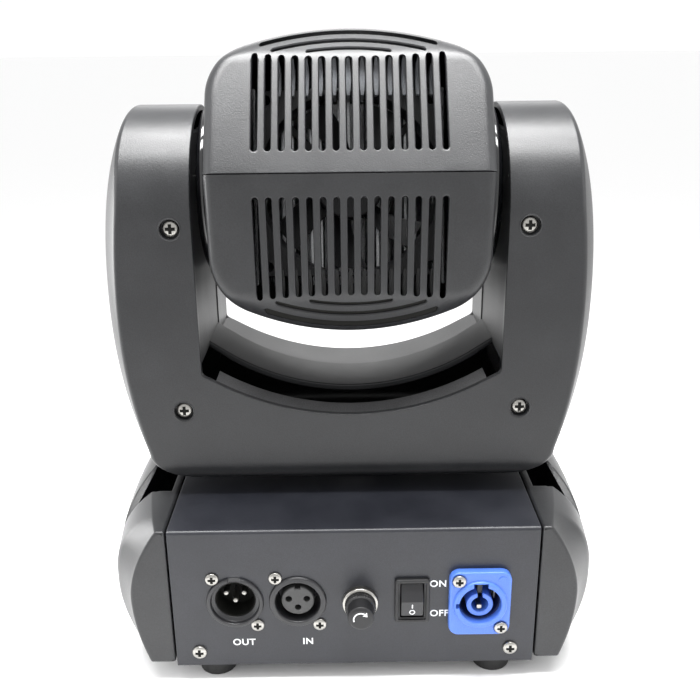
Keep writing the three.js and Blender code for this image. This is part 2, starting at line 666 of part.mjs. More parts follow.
/** The yoke's outer half width at a height, on the rear or front face. */
function yokeFace( z ) {

	const reach = z > YOKE_BELLY ? ( z - YOKE_BELLY ) / 85 : ( YOKE_BELLY - z ) / 81;
	return z > YOKE_BELLY ? 99.5 - 5.2 * reach ** 2 - 1.6 * reach ** 6 : 99.5 - 13.5 * reach ** 2.2;

}

/** Half of the yoke's outer outline at one depth, from the bottom to the top. */
function yokeSide( y, inset ) {

	const crown = YOKE.crown * ( 1 - ( y / YOKE.half ) ** 2 );
	const corner = 12;
	const low = YOKE.bottom + inset;
	const belly = ( z ) => 1 - ( ( z - YOKE_BELLY ) / ( z > YOKE_BELLY ? 110 : 95 ) ) ** 4;
	const at = ( z ) => yokeFace( z ) + crown * belly( z ) - inset;
	const turn = arc( at( low + corner ) - corner, low + corner, corner, 270, 340, 3 );
	return [ ...turn, ...[ 106, 122, 140, 162, 186, 208, 228, 256 ].map( ( z ) => [ at( z ), z ] ) ];

}

/** The yoke's outer body before the gap for the head is cut, drawn inwards by a wall. */
function yokeBody( inset ) {

	const { half, bottom, armCentre, armRadius } = YOKE;
	const stations = [ - half + inset, - 34, - 18, 0 ].map( ( y ) => {

		const side = yokeSide( y, inset );
		return { y, outline: [ ...side, ...side.map( ( [ x, z ] ) => [ - x, z ] ).reverse() ] };

	} );
	const profile = [ [ half, bottom - 1 ], ...arc( 0, armCentre, armRadius - inset, 0, 180, 14 ),
		[ - half, bottom - 1 ] ];
	return loft( stations ).intersect( prism( 'x', profile, - 130, 130 ) );

}

/** The U-shaped gap for the head, with an arched floor. */
function yokeGap( wall, floor, radius, corner, from, to ) {

	const bend = 12;
	const xs = spread( - wall + bend, wall - bend, 10 );
	const outline = [ [ - wall, 300 ], [ - wall, corner ],
		...xs.map( ( x ) => [ x, 2 * floor - arch( floor, radius, x ) ] ), [ wall, corner ],
		[ wall, 300 ] ];
	return prism( 'y', outline, from, to );

}

/** Two half shells meet at the middle of the yoke. The front one also has the wall that lines the U. */
function makeYokeCovers() {

	const { innerWall, half } = YOKE;
	const { x, low, high, recess, depth } = COVER_SCREW;
	const shell = cut( yokeBody( 0 ), yokeBody( WALL ) );
	const places = [ low, high ].flatMap( ( z ) => [ - x, x ].map( ( px ) => [ px, 0, z ] ) );
	const bosses = places.map( ( at ) => rod( 'y', recess + 2, - half + 1, - 30, at, 14 ) );
	const recesses = places.map( ( at ) => rod( 'y', recess, - half - 1, - half + depth, at, 20 ) );
	const bores = places.map( ( at ) => rod( 'y', 1.5 + GAP, - half, - 29, at, 10 ) );
	const gap = yokeGap( innerWall, LIP.floor, LIP.radius, LIP.corner, - half - 5, 1 );
	const shaftHole = rod( 'z', 20 + GAP, YOKE.bottom - 2, YOKE.bottom + WALL + 2, [ 0, 0, 0 ] );
	const split = box( [ - 130, 130 ], [ - 0.15, 5 ], [ 70, 260 ] );
	const rear = cut( join( shell, ...bosses ), ...recesses, ...bores, gap, shaftHole, split );
	add( 'yoke_rear_cover', 'shell', rear );
	const [ start, end ] = [ 1 - half, - FRAME.half - GAP ];
	const outside = yokeGap( innerWall + WALL, LIP.floor - WALL, LIP.radius + WALL, LIP.corner - 1,
		start, end );
	const inside = yokeGap( innerWall, LIP.floor, LIP.radius, LIP.corner, start - 1, end + 1 );
	const lining = cut( outside, inside ).intersect( yokeBody( 0 ) );
	add( 'yoke_front_cover', 'shell', mirrorY( join( rear, lining ) ) );
	places.forEach( ( at, i ) => add( `yoke_screw_${ i + 1 }`, 'steel',
		screw( 'y', - half + depth - 0.1, at, 3.5, 1.5, 10, 2 ) ) );

}

/** The band that lines the U between the covers, with a foot plate on the pan shaft. */
function makeYokeFrame() {

	const { half, wall, thickness, floor, floorRadius, corner } = FRAME;
	const armTop = TILT.z + 27;
	const outside = yokeGap( wall + thickness, floor - thickness, floorRadius + thickness, corner - 1,
		- half, half );
	const inside = yokeGap( wall, floor, floorRadius, corner, - half - 1, half + 1 );
	const band = cut( outside, inside, box( [ - 80, 80 ], [ - 20, 20 ], [ armTop, 310 ] ) );
	const base = YOKE.bottom + 4.9;
	const plate = box( [ - 52, 52 ], [ - half, half ], [ base, base + thickness ] );
	const posts = [ - 1, 1 ].flatMap( ( side ) => [ 28, 50 ].map( ( x ) => {

		const top = 2 * floor - arch( floor, floorRadius, x ) - 1;
		return box( [ side * x - 1.5, side * x + 1.5 ], [ - half, half ], [ base + 1, top ] );

	} ) );
	const bearings = [ - 1, 1 ].map( ( side ) => rod( 'x', HUB.bearing + GAP, side * 67.5 - 4,
		side * 67.5 + 4, [ 0, 0, TILT.z ] ) );
	const passage = rod( 'z', 7.3, base - 2, base + 6, [ 0, 0, 0 ], 16 );
	add( 'yoke_frame', 'shell', cut( join( band, plate, ...posts ), ...bearings, passage ) );

}

function makeTiltDrive() {

	const { x, beltWidth, pulley, smallPulley, motorZ, motorSize, motorDepth } = DRIVE;
	const { wall, thickness } = FRAME;
	const start = wall + thickness + GAP;
	for ( const [ side, sign ] of [ [ 'left', - 1 ], [ 'right', 1 ] ] ) {

		const bore = HUB.shaft + GAP;
		const profile = [ [ bore, wall - 0.5 ], [ HUB.bearing, wall - 0.5 ], [ HUB.bearing, start ],
			[ HUB.bearing + 3, start ], [ HUB.bearing + 3, start + 3 ], [ bore, start + 3 ],
			[ bore, wall - 0.5 ] ];
		const bearing = turned( 'x', profile, [ 0, 0, TILT.z ] );
		add( `tilt_bearing_${ side }`, 'steel', sign > 0 ? bearing : mirrorX( bearing ) );

	}

	const body = prism( 'x', roundedBox( 0, motorZ, motorSize, motorSize, 3, 1 ), start,
		start + motorDepth - 1 );
	add( 'tilt_motor', 'steel', join( body, rod( 'x', 2.4, start + 2, x + 4, [ 0, 0, motorZ ], 12 ) ) );
	const [ from, to ] = [ x - beltWidth / 2, x + beltWidth / 2 ];
	add( 'tilt_motor_pulley', 'aluminium', ring( 'x', 2.7, smallPulley, from - 1, to + 1,
		[ 0, 0, motorZ ], 20 ) );
	add( 'tilt_belt', 'rubber', belt( 'x', [ 0, TILT.z ], pulley, [ 0, motorZ ], smallPulley, from, to ) );

}

// ---- head, drawn level about the tilt axis with the beam along +Y ---------------------------

/** The head's outline seen along the beam: an arched top and round corners. */
function headFace( inset ) {

	const { half, top, archRadius, corner } = HEAD;
	const [ width, arm, radius ] = [ half - inset, archRadius - inset, corner - inset ];
	const centre = top - archRadius;
	const lift = Math.sqrt( ( arm - radius ) ** 2 - ( width - radius ) ** 2 );
	const meet = THREE.MathUtils.radToDeg( Math.atan2( lift, width - radius ) );
	const bend = arc( width - radius, centre + lift, radius, 0, meet, 4 );
	const crown = arc( 0, centre, arm, meet, 180 - meet, 8 ).slice( 1, - 1 );
	return [ [ width, - 1 ], ...bend, ...crown, ...bend.map( ( [ x, z ] ) => [ - x, z ] ).reverse(),
		[ - width, - 1 ] ];

}

/** The upper half of the head's casing before it is hollowed, drawn inwards by a wall. */
function headHalf( inset ) {

	const { ridge, edgeY, edgeZ, bevelY, top, front } = HEAD;
	const side = [ [ front + 1, - 1 ], [ front + 1, top - inset ], [ - bevelY + inset * 0.6, top - inset ],
		[ - edgeY + inset * 0.8, edgeZ - inset * 0.5 ], [ - ridge + inset, - 1 ] ];
	const along = prism( 'x', side, - 70, 70 );
	return along.intersect( prism( 'y', headFace( inset ), - 70, 70 ) );

}

/** One of three vents in the bevel, following the arched top. */
function arcVent( reach, lift, width ) {

	const { top, archRadius } = HEAD;
	const row = ( shift ) => spread( - reach, reach, 10 )
		.map( ( x ) => [ x, top - arch( top, archRadius, x ) + shift ] );
	return [ ...row( lift ), ...row( lift + width ).reverse() ];

}

function makeHeadShells() {

	const { front, half, top, edgeY, edgeZ } = HEAD;
	const shell = cut( headHalf( 0 ), headHalf( WALL ) );
	const first = - ( SLOT.count - 1 ) / 2;
	const slots = Array.from( { length: SLOT.count }, ( _, i ) => {

		const x = ( first + i ) * SLOT.pitch;
		return box( [ x - SLOT.width / 2, x + SLOT.width / 2 ], [ - 70, - edgeY + 7 ],
			[ SLOT.start, SLOT.end ] );

	} );
	const vents = [ [ 36, - 36.7, 2.8 ], [ 31, - 40.9, 1.5 ], [ 17, - 44.8, 1.1 ] ]
		.map( ( [ reach, y, width ] ) => prism( 'z', arcVent( reach, y, width ), edgeZ - 4, top + 4 ) );
	const neck = rod( 'x', HUB.neck + GAP, - half - 5, half + 5, [ 0, 0, 0 ] );
	const below = box( [ - 80, 80 ], [ - 80, 80 ], [ - 5, 0.15 ] );
	const ahead = box( [ - 80, 80 ], [ front - GAP, 80 ], [ - 5, 80 ] );
	const upper = cut( shell, ...slots, ...vents, neck, below, ahead );
	add( 'head_upper_shell', 'shell', upper, tiltGroup );
	add( 'head_lower_shell', 'shell', mirrorZ( upper ), tiltGroup );

}

/** The bezel closes the front of the casing and frames the round lens opening. */
function makeFrontBezel() {

	const { half, front } = HEAD;
	const face = headFace( 0 ).slice( 1, - 1 );
	const outline = [ ...face, ...face.map( ( [ x, z ] ) => [ x, - z ] ).reverse() ];
	const scaled = ( share ) => outline.map( ( [ x, z ] ) => [ x * share, z * share ] );
	const body = loft( [ { y: front, outline }, { y: front + 6, outline },
		{ y: front + 11, outline: scaled( 0.9 ) } ] );
	const centre = [ 0, 0, 0 ];
	const { maskRadius } = LENS;
	const bore = rod( 'y', maskRadius + GAP, front - 1, half + 5, centre, 28 );
	const ledge = ring( 'y', maskRadius - 2.2, maskRadius + 2, front, front + 1.8, centre, 28 );
	add( 'front_bezel', 'shell', join( cut( body, bore ), ledge ), tiltGroup );

}

const lensPlaces = () => [ [ 0, 0, 0 ], ...Array.from( { length: LENS.count }, ( _, i ) => {

	const angle = Math.PI / 2 + i * 2 * Math.PI / LENS.count;
	return [ LENS.ring * Math.cos( angle ), 0, LENS.ring * Math.sin( angle ) ];

} ) ];

function makeOptics() {

	const { maskRadius, maskY, radius } = LENS;
	const holes = lensPlaces().map( ( at ) => rod( 'y', radius + 0.8, maskY - 1, maskY + 4, at, 14 ) );
	add( 'lens_mask', 'matte', cut( rod( 'y', maskRadius, maskY, maskY + 2, [ 0, 0, 0 ], 28 ), ...holes ),
		tiltGroup );
	const back = maskY - 2 + GAP / 2;
	const crown = arc( 0, 0, 1, 20, 90, 3 )
		.map( ( [ c, s ] ) => [ Math.max( 0, radius * c ), maskY + 1 + 5 * ( s - 0.34 ) ] );
	const profile = [ [ 0, back ], [ radius, back ], [ radius, maskY + 1 ], ...crown ];
	const dome = ( at ) => turned( 'y', profile, at, 12 );
	const plate = rod( 'y', maskRadius - 0.5, back, maskY - GAP, [ 0, 0, 0 ], 28 );
	add( 'lens_array', 'lens', join( plate, ...lensPlaces().map( dome ) ), tiltGroup );
	const boardY = SINK.baseFront + GAP;
	const emitters = lensPlaces().map( ( at ) => rod( 'y', 3.4, boardY + 1, boardY + 3.4, at, 8 ) );
	add( 'led_board', 'board', join( rod( 'y', 43, boardY, boardY + 1.6, [ 0, 0, 0 ], 20 ), ...emitters ),
		tiltGroup );

}

/** The heatsink: a base plate with a row of upright fins towards the fan. */
function makeHeatsink() {

	const { half, baseFront, base, finRear, fin, fins } = SINK;
	const plate = box( [ - half, half ], [ baseFront - base, baseFront ], [ - 44, 44 ] );
	const blades = spread( - half + fin / 2, half - fin / 2, fins - 1 )
		.map( ( x ) => box( [ x - fin / 2, x + fin / 2 ], [ finRear, baseFront - base + 0.5 ],
			[ - 44, 44 ] ) );
	add( 'heatsink', 'aluminium', join( plate, ...blades ), tiltGroup );

}

function makeFan() {

	const { size, depth, front, hole, hub, blades } = FAN;
	const square = prism( 'y', roundedBox( 0, 0, size, size, 6, 2 ), front, front + depth );
	const tunnel = rod( 'y', hole, front - 1, front + depth + 1, [ 0, 0, 0 ], 32 );
	const motorY = front + depth;
	const struts = [ 0, 1 ].map( ( i ) => {

		const bar = surface( box( [ - hole - 1, hole + 1 ], [ motorY - 2, motorY ], [ - 1.5, 1.5 ] ) );
		return solid( bar.rotateY( Math.PI / 4 + i * Math.PI / 2 ) );

	} );
	const seat = rod( 'y', hub - 1, motorY - 2, motorY, [ 0, 0, 0 ], 20 );
	add( 'fan_frame', 'matte', join( cut( square, tunnel ), ...struts, seat ), tiltGroup );

	const core = rod( 'y', hub, front + 1, motorY - 2 - GAP, [ 0, 0, 0 ], 24 );
	const vanes = Array.from( { length: blades }, ( _, i ) => {

		const vane = surface( box( [ hub - 1, hole - 1.5 ], [ - 0.6, 0.6 ], [ - 7, 7 ] ) );
		vane.rotateX( THREE.MathUtils.degToRad( 50 ) ).translate( 0, front + 7, 0 );
		vane.rotateY( i * 2 * Math.PI / blades );
		return solid( vane );

	} );
	add( 'fan_rotor', 'matte', join( core, ...vanes ), tiltGroup );

}

/** Each hub clamps to the heatsink inside, passes through the casing and ends in its shaft. */
function makeTiltHubs() {

	const { disc, neck, flange, shaft, faceX, discWidth } = HUB;
	const inside = SINK.half + GAP;
	const end = DRIVE.x + DRIVE.beltWidth / 2 + 2;
	const profile = [ [ 0, inside ], [ flange, inside ], [ flange, inside + 3 ], [ neck, inside + 3 ],
		[ neck, faceX ], [ disc - 2, faceX ], [ disc, faceX + 1 ], [ disc, faceX + discWidth - 1 ],
		[ disc - 2, faceX + discWidth ], [ shaft, faceX + discWidth ] ];
	const hub = ( tip ) => turned( 'x', [ ...profile, [ shaft, tip ], [ 0, tip ] ], undefined, 24 );
	add( 'tilt_hub_right', 'gloss', hub( end ), tiltGroup );
	add( 'tilt_hub_left', 'gloss', mirrorX( hub( 76 ) ), tiltGroup );
	const [ from, to ] = [ DRIVE.x - DRIVE.beltWidth / 2, DRIVE.x + DRIVE.beltWidth / 2 ];
	const wheel = [ [ shaft + GAP, from - 1 ], [ DRIVE.pulley + 1, from - 1 ],
		[ DRIVE.pulley + 1, from - GAP ], [ DRIVE.pulley, from - GAP ], [ DRIVE.pulley, to + 0.6 ],
		[ shaft + GAP, to + 0.6 ], [ shaft + GAP, from - 1 ] ];
	add( 'tilt_pulley', 'aluminium', turned( 'x', wheel, undefined, 24 ), tiltGroup );

}

// ---- the whole light ----------------------------------------------------------------------

makeFeet();
makeBaseCover();
makeBottomPlate();
makeEndCaps();
makeXlrSocket( 'xlr_out_socket', 'matte', XLR.outX, true );
makeXlrSocket( 'xlr_in_socket', 'grey', XLR.inX, false );
makeFuseHolder();
makeFuseCap();
makeSwitch();
makeMainsInlet();
makePanelScrews();
makeControls();
makeBaseInside();
makePanBearing();
makePanShaft();
makeYokeCovers();
makeYokeFrame();
makeTiltDrive();
makeHeadShells();
makeFrontBezel();
makeOptics();
makeHeatsink();
makeFan();
makeTiltHubs();

export default light;
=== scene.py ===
"""A moving head light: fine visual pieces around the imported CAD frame. Blender 4.5, metres, +Z up.

Sizes are written in millimetres and turned into metres when a mesh is made. The head is drawn
level about the tilt axis with its beam along +Y, and then tilted into its rest position.
"""
import json
from contextlib import contextmanager
from math import atan2, cos, degrees, hypot, pi, radians, sin, sqrt, tan

import bmesh
import bpy
from mathutils import Matrix, Vector


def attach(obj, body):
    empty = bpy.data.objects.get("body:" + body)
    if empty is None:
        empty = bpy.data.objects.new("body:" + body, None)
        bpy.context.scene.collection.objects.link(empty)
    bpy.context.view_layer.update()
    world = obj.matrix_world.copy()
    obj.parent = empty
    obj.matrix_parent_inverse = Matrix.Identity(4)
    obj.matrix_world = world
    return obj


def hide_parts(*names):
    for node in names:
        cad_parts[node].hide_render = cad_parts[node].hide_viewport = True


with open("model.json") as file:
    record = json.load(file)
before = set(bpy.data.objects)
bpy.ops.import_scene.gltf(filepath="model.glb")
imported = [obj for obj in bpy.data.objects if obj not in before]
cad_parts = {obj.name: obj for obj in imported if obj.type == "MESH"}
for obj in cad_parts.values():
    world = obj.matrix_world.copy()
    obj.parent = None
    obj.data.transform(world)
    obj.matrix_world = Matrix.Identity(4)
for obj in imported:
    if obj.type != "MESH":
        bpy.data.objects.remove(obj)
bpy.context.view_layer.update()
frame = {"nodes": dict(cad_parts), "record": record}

MM = 0.001
BASE_MID = 5.5
REAR, FRONT = -75.0, 86.0
TOP, BOTTOM = 77.3, 8.5
TILT_Z = 211.0
TILT_REST = radians(14)
HEAD_PLACE = Matrix.Translation((0, 0, TILT_Z * MM)) @ Matrix.Rotation(-TILT_REST, 4, "X")

# ---- outlines ----


def spread(a, b, steps):
    return [a + (b - a) * i / steps for i in range(steps + 1)]


def quarter(steps):
    return spread(0, pi / 2, steps)


def rounding(radius, steps):
    """How far a rounded edge has come along and still falls short, point by point."""
    return [(radius * (1 - cos(t)), radius * (1 - sin(t))) for t in quarter(steps)]


def arc(cx, cy, radius, start, end, steps):
    """Points on an arc, both ends included. Angles in degrees."""
    angles = [radians(t) for t in spread(start, end, steps)]
    return [(cx + radius * cos(t), cy + radius * sin(t)) for t in angles]


def circle(cx, cy, radius, sides=48):
    return arc(cx, cy, radius, 0, 360, sides)[:-1]


def rounded_box(cx, cy, width, height, radius, steps=6):
    x, y = width / 2 - radius, height / 2 - radius
    corners = [(x, y, 0), (-x, y, 90), (-x, -y, 180), (x, -y, 270)]
    return [p for dx, dy, t in corners for p in arc(cx + dx, cy + dy, radius, t, t + 90, steps)]


def signed_area(outline):
    pairs = zip(outline, outline[1:] + outline[:1])
    return sum(ax * by - bx * ay for (ax, ay), (bx, by) in pairs) / 2


def anticlockwise(outline):
    return outline if signed_area(outline) > 0 else outline[::-1]


def inset(outline, distance):
    """An anticlockwise outline drawn inwards, or outwards for a negative distance."""
    out = []
    count = len(outline)
    for i, (bx, by) in enumerate(outline):
        ax, ay = outline[i - 1]
        cx, cy = outline[(i + 1) % count]
        before = Vector((ay - by, bx - ax)).normalized()
        after = Vector((by - cy, cx - bx)).normalized()
        turn = (before + after) * (distance / max(0.35, 1 + before.dot(after)))
        out.append((bx + turn.x, by + turn.y))
    return out


def eased(back, here, ahead, reach, steps):
    """Points on the curve that rounds a corner. back and ahead lead away from it."""
    start, end = here + back.normalized() * reach, here + ahead.normalized() * reach
    return [tuple(start * (1 - t) ** 2 + here * 2 * t * (1 - t) + end * t * t)
            for t in spread(0, 1, steps)]


def fillet(outline, radius, steps, only=None):
    """The outline with its corners rounded: those of 20 degrees and more, or only those named."""
    out = []
    count = len(outline)
    for i in range(count):
        here = Vector(outline[i])
        back = Vector(outline[i - 1]) - here
        ahead = Vector(outline[(i + 1) % count]) - here
        turn = pi - back.angle(ahead)
        skipped = degrees(turn) < 20 if only is None else i not in only
        if skipped:
            out.append(tuple(here))
            continue
        reach = min(radius * tan(turn / 2), back.length * 0.49, ahead.length * 0.49)
        out += eased(back, here, ahead, reach, steps)
    return out


# ---- meshes ----


def add(name, data):
    """A new object in the scene."""
    made = bpy.data.objects.new(name, data)
    bpy.context.scene.collection.objects.link(made)
    return made


def weld(bm):
    bmesh.ops.remove_doubles(bm, verts=bm.verts, dist=2e-6)


@contextmanager
def edited(data):
    """A mesh opened for editing and written back at the end."""
    bm = bmesh.new()
    bm.from_mesh(data)
    yield bm
    bm.to_mesh(data)
    bm.free()


def build(name, points, faces):
    """An object from points in millimetres, with its faces pointing out."""
    data = bpy.data.meshes.new(name)
    data.from_pydata([Vector(p) * MM for p in points], [], faces)
    piece = add(name, data)
    with edited(data) as bm:
        weld(bm)
        bmesh.ops.recalc_face_normals(bm, faces=bm.faces)
    return piece


def skin(name, rings, closed=False, capped=True):
    """A skin over rings of points with the same count, closed on itself or capped at its ends."""
    count = len(rings[0])
    points = [p for ring in rings for p in ring]
    faces = []
    for r in range(len(rings) if closed else len(rings) - 1):
        low, high = r * count, (r + 1) % len(rings) * count
        for i in range(count):
            j = (i + 1) % count
            faces.append((low + i, low + j, high + j, high + i))
    if capped and not closed:
        faces.append(tuple(range(count))[::-1])
        faces.append(tuple(range(len(points) - count, len(points))))
    return build(name, points, faces)


PLACES = {
    "x": lambda u, v, w: (w, u, v),
    "y": lambda u, v, w: (u, w, v),
    "z": lambda u, v, w: (u, v, w),
}


def slab(name, axis, outline, start, end, round_start=0.0, round_end=0.0, steps=4):
    """An outline extruded along an axis, with a fillet round each end."""
    outline = anticlockwise(outline)
    place = PLACES[axis]
    levels = []
    if round_start > 0:
        levels = [(start + round_start - round_start * sin(t), round_start * (1 - cos(t)))
                  for t in spread(pi / 2, 0, steps)]
    else:
        levels.append((start, 0))
    if round_end > 0:
        levels += [(end - round_end + round_end * sin(t), round_end * (1 - cos(t)))
                   for t in quarter(steps)]
    else:
        levels.append((end, 0))
    rings = [[place(u, v, w) for u, v in inset(outline, shift)] for w, shift in levels]
    return skin(name, rings)


def turned(name, axis, profile, at=(0, 0, 0), sides=64, loop=False):
    """A turned piece. The profile holds radius and distance along the axis, and may be a loop."""
    place = PLACES[axis]
    rings = []
    for r, w in profile:
        ring = [place(u, v, w) for u, v in circle(0, 0, max(r, 1e-6), sides)]
        rings.append([(x + at[0], y + at[1], z + at[2]) for x, y, z in ring])
    return skin(name, rings, closed=loop)


def rod(name, axis, radius, start, end, at=(0, 0, 0), sides=48):
    # Each rim is given twice: the points that build() merges set the order that a cut then follows.
    rim = [(radius, start), (radius, start), (radius, end), (radius, end)]
    return turned(name, axis, [(0, start)] + rim + [(0, end)], at, sides)


def rods(places, radius, start, end, sides=48):
    """Tools for round holes along Y at points in XZ."""
    return [rod("t", "y", radius, start, end, (x, 0, z), sides) for x, z in places]


def rounded_profile(profile, radius, steps=4):
    """An open profile with its corners rounded, apart from its two ends."""
    out = [profile[0]]
    for before, here, after in zip(profile, profile[1:], profile[2:]):
        here = Vector(here)
        back, ahead = Vector(before) - here, Vector(after) - here
        if back.length < 1e-6 or ahead.length < 1e-6:
            continue
        reach = min(radius, back.length * 0.45, ahead.length * 0.45)
        out += eased(back, here, ahead, reach, steps)
    return out + [profile[-1]]


def box(name, xs, ys, zs, edge=0.0):
    outline = [(xs[0], zs[0]), (xs[1], zs[0]), (xs[1], zs[1]), (xs[0], zs[1])]
    if edge > 0:
        outline = fillet(outline, edge, 3)
    return slab(name, "y", outline, ys[0], ys[1], edge, edge, 3)


def block(name, x, z, half_x, half_z, ys, edge=0.0):
    """A box centred on a point in XZ."""
    return box(name, (x - half_x, x + half_x), ys, (z - half_z, z + half_z), edge)


def combine(piece, tools, operation="DIFFERENCE"):
    """Cuts the tools from a piece, or joins them to it. The tools are used up."""
    for tool in tools:
        change = piece.modifiers.new("combine", "BOOLEAN")
        change.operation = operation
        change.solver = "MANIFOLD"
        change.object = tool
        graph = bpy.context.evaluated_depsgraph_get()
        made = bpy.data.meshes.new_from_object(piece.evaluated_get(graph))
        piece.modifiers.clear()
        piece.data = made
        bpy.data.objects.remove(tool)
    return piece


def together(name, pieces):
    """Separate closed meshes as one object."""
    bm = bmesh.new()
    for piece in pieces:
        bm.from_mesh(piece.data)
        bpy.data.objects.remove(piece)
    data = bpy.data.meshes.new(name)
    bm.to_mesh(data)
    bm.free()
    return add(name, data)


def mirrored(name, piece, axis=0):
    """A mirror image of a piece as a new object. The piece itself stays."""
    data = piece.data.copy()
    scale = [1, 1, 1, 1]
    scale[axis] = -1
    data.transform(Matrix.Diagonal(scale))
    data.flip_normals()
    return add(name, data)


def soften(piece, width, angle, segments, keep=None, flatten=True):
    """Rounds the edges that are sharper than an angle, and that keep() accepts by their middle in mm."""
    with edited(piece.data) as bm:
        weld(bm)
        if flatten:
            bmesh.ops.dissolve_limit(bm, angle_limit=radians(0.3), verts=bm.verts, edges=bm.edges)
        sharp = []
        for edge in bm.edges:
            if len(edge.link_faces) == 2 and edge.calc_face_angle(0) > radians(angle):
                middle = (edge.verts[0].co + edge.verts[1].co) / (2 * MM)
                if keep is None or keep(middle):
                    sharp.append(edge)
        bmesh.ops.bevel(bm, geom=sharp, offset=width * MM, offset_type="OFFSET", segments=segments,
                        profile=0.5, affect="EDGES", clamp_overlap=False)


def shade(piece):
    """Smooth shading with an edge kept sharp where it turns 32 degrees and more."""
    with edited(piece.data) as bm:
        for face in bm.faces:
            face.smooth = True
        for edge in bm.edges:
            edge.smooth = edge.calc_face_angle(0) < radians(32)
    weigh = piece.modifiers.new("normals", "WEIGHTED_NORMAL")
    weigh.keep_sharp = True
    weigh.weight = 60


def show(piece, body, finish, replaces=(), name=None):
    """The last step for a piece: its name, finish, body and the CAD nodes that it stands for.
    """
    if name:
        piece.name = name
    piece.data.name = piece.name
    piece.data.materials.clear()
    piece.data.materials.append(finish)
    for face in piece.data.polygons:
        face.material_index = 0
    shade(piece)
    if body in ("head", "fan_rotor"):
        piece.data.transform(HEAD_PLACE)
    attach(piece, body)
    if replaces:
        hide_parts(*replaces)


# ---- materials ----


def material(name, colour, roughness, metallic=0.0, grain=0.0, spot=0.6, mottle=0.06,
             coat=0.0, specular=0.5, transmission=0.0):
    """A procedural finish: colour mottling, roughness variation and a fine moulded grain."""
    made = bpy.data.materials.new(name)
    made.use_nodes = True
    nodes, links = made.node_tree.nodes, made.node_tree.links
    shader = nodes["Principled BSDF"]
    for socket, value in (("Metallic", metallic), ("Coat Weight", coat), ("Coat Roughness", 0.08),
                          ("Specular IOR Level", specular), ("Transmission Weight", transmission)):
        shader.inputs[socket].default_value = value
    place = nodes.new("ShaderNodeTexCoord")

    def noise(size, detail):
        """Noise with spots of a size in millimetres."""
        made_noise = nodes.new("ShaderNodeTexNoise")
        made_noise.inputs["Scale"].default_value = 1000.0 / size
        made_noise.inputs["Detail"].default_value = detail
        links.new(place.outputs["Object"], made_noise.inputs["Vector"])
        return made_noise.outputs["Fac"]

    def ramp(source, low, high):
        """The noise's middle range spread over two colours."""
        made_ramp = nodes.new("ShaderNodeValToRGB")
        for stop, position, tone in zip(made_ramp.color_ramp.elements, (0.32, 0.68), (low, high)):
            stop.position = position
            stop.color = (*tone, 1)
        links.new(source, made_ramp.inputs["Fac"])
        return made_ramp.outputs["Color"]

    broad = noise(18, 4)
    fine = noise(spot, 2)
    dark = tuple(c * (1 - mottle) for c in colour)
    light = tuple(c * (1 + mottle) + 0.002 for c in colour)
    speck = nodes.new("ShaderNodeMix")
    speck.data_type = "RGBA"
    speck.blend_type = "MULTIPLY"
    speck.inputs["Factor"].default_value = 1.0
    links.new(ramp(broad, dark, light), speck.inputs["A"])
    links.new(ramp(fine, (1 - 2.2 * mottle,) * 3, (1 + 2.2 * mottle,) * 3), speck.inputs["B"])
    links.new(speck.outputs["Result"], shader.inputs["Base Color"])
    rough = nodes.new("ShaderNodeMapRange")
    rough.inputs["To Min"].default_value = roughness - 0.05
    rough.inputs["To Max"].default_value = roughness + 0.05
    links.new(broad, rough.inputs["Value"])
    links.new(rough.outputs["Result"], shader.inputs["Roughness"])
    if grain > 0:
        bump = nodes.new("ShaderNodeBump")
        bump.inputs["Strength"].default_value = grain
        bump.inputs["Distance"].default_value = 0.0001
        links.new(fine, bump.inputs["Height"])
        links.new(bump.outputs["Normal"], shader.inputs["Normal"])
    return made


SHELL = material("shell_satin", (0.014, 0.0145, 0.016), 0.36, grain=0.5, spot=0.55, mottle=0.1)
LINER = material("liner_satin", (0.012, 0.0125, 0.014), 0.42, grain=0.4, spot=0.5, mottle=0.1)
SHEET = material("coated_steel", (0.013, 0.014, 0.019), 0.38, grain=0.35, spot=0.45, mottle=0.1)
MATTE = material("matte_black", (0.006, 0.006, 0.007), 0.5, grain=0.3, spot=0.4)
GLOSS = material("gloss_black", (0.004, 0.004, 0.005), 0.1, grain=0.03, spot=2.5, coat=0.5)
ROCKER = material("rocker_black", (0.016, 0.016, 0.018), 0.3, grain=0.15, spot=0.35)
GREY = material("insert_grey", (0.050, 0.050, 0.050), 0.55, grain=0.3, spot=0.4)
BLUE = material("moulded_blue", (0.075, 0.18, 0.62), 0.34, grain=0.2, spot=0.5, mottle=0.03)
# The inlet's blue darkened to a deep navy for the inside of its bore: painted shade.
THROAT_SHADE = material("blue_throat_shade", (0.010, 0.022, 0.09), 0.45, grain=0.15, spot=0.5, mottle=0.03)
CHROME = material("plated_steel", (0.40, 0.39, 0.365), 0.3, metallic=1.0, grain=0.08, spot=0.3)
# Near-black with little shine, for the fills in the screw crosses, the data-out well and the lower vents:
# painted shade.
PAINTED_SHADE = material("recess_shade", (0.010, 0.010, 0.009), 0.7, grain=0.1, spot=0.2, specular=0.1)
STEEL = material("bearing_steel", (0.45, 0.45, 0.46), 0.3, metallic=1.0, grain=0.1, spot=0.8)
ALU = material("aluminium", (0.60, 0.61, 0.62), 0.36, metallic=1.0, grain=0.25, spot=0.7)
RUBBER = material("rubber", (0.012, 0.012, 0.012), 0.7, grain=0.6, spot=0.5)
BELT = material("belt_rubber", (0.010, 0.010, 0.010), 0.7, grain=0.5, spot=0.4)
BOARD = material("board_green", (0.012, 0.085, 0.035), 0.45, grain=0.3, spot=1.6, mottle=0.2)
LENS = material("lens_clear", (0.90, 0.94, 0.95), 0.05, mottle=0.02, transmission=0.95)
CHIP = material("led_yellow", (0.75, 0.62, 0.12), 0.4, mottle=0.03)
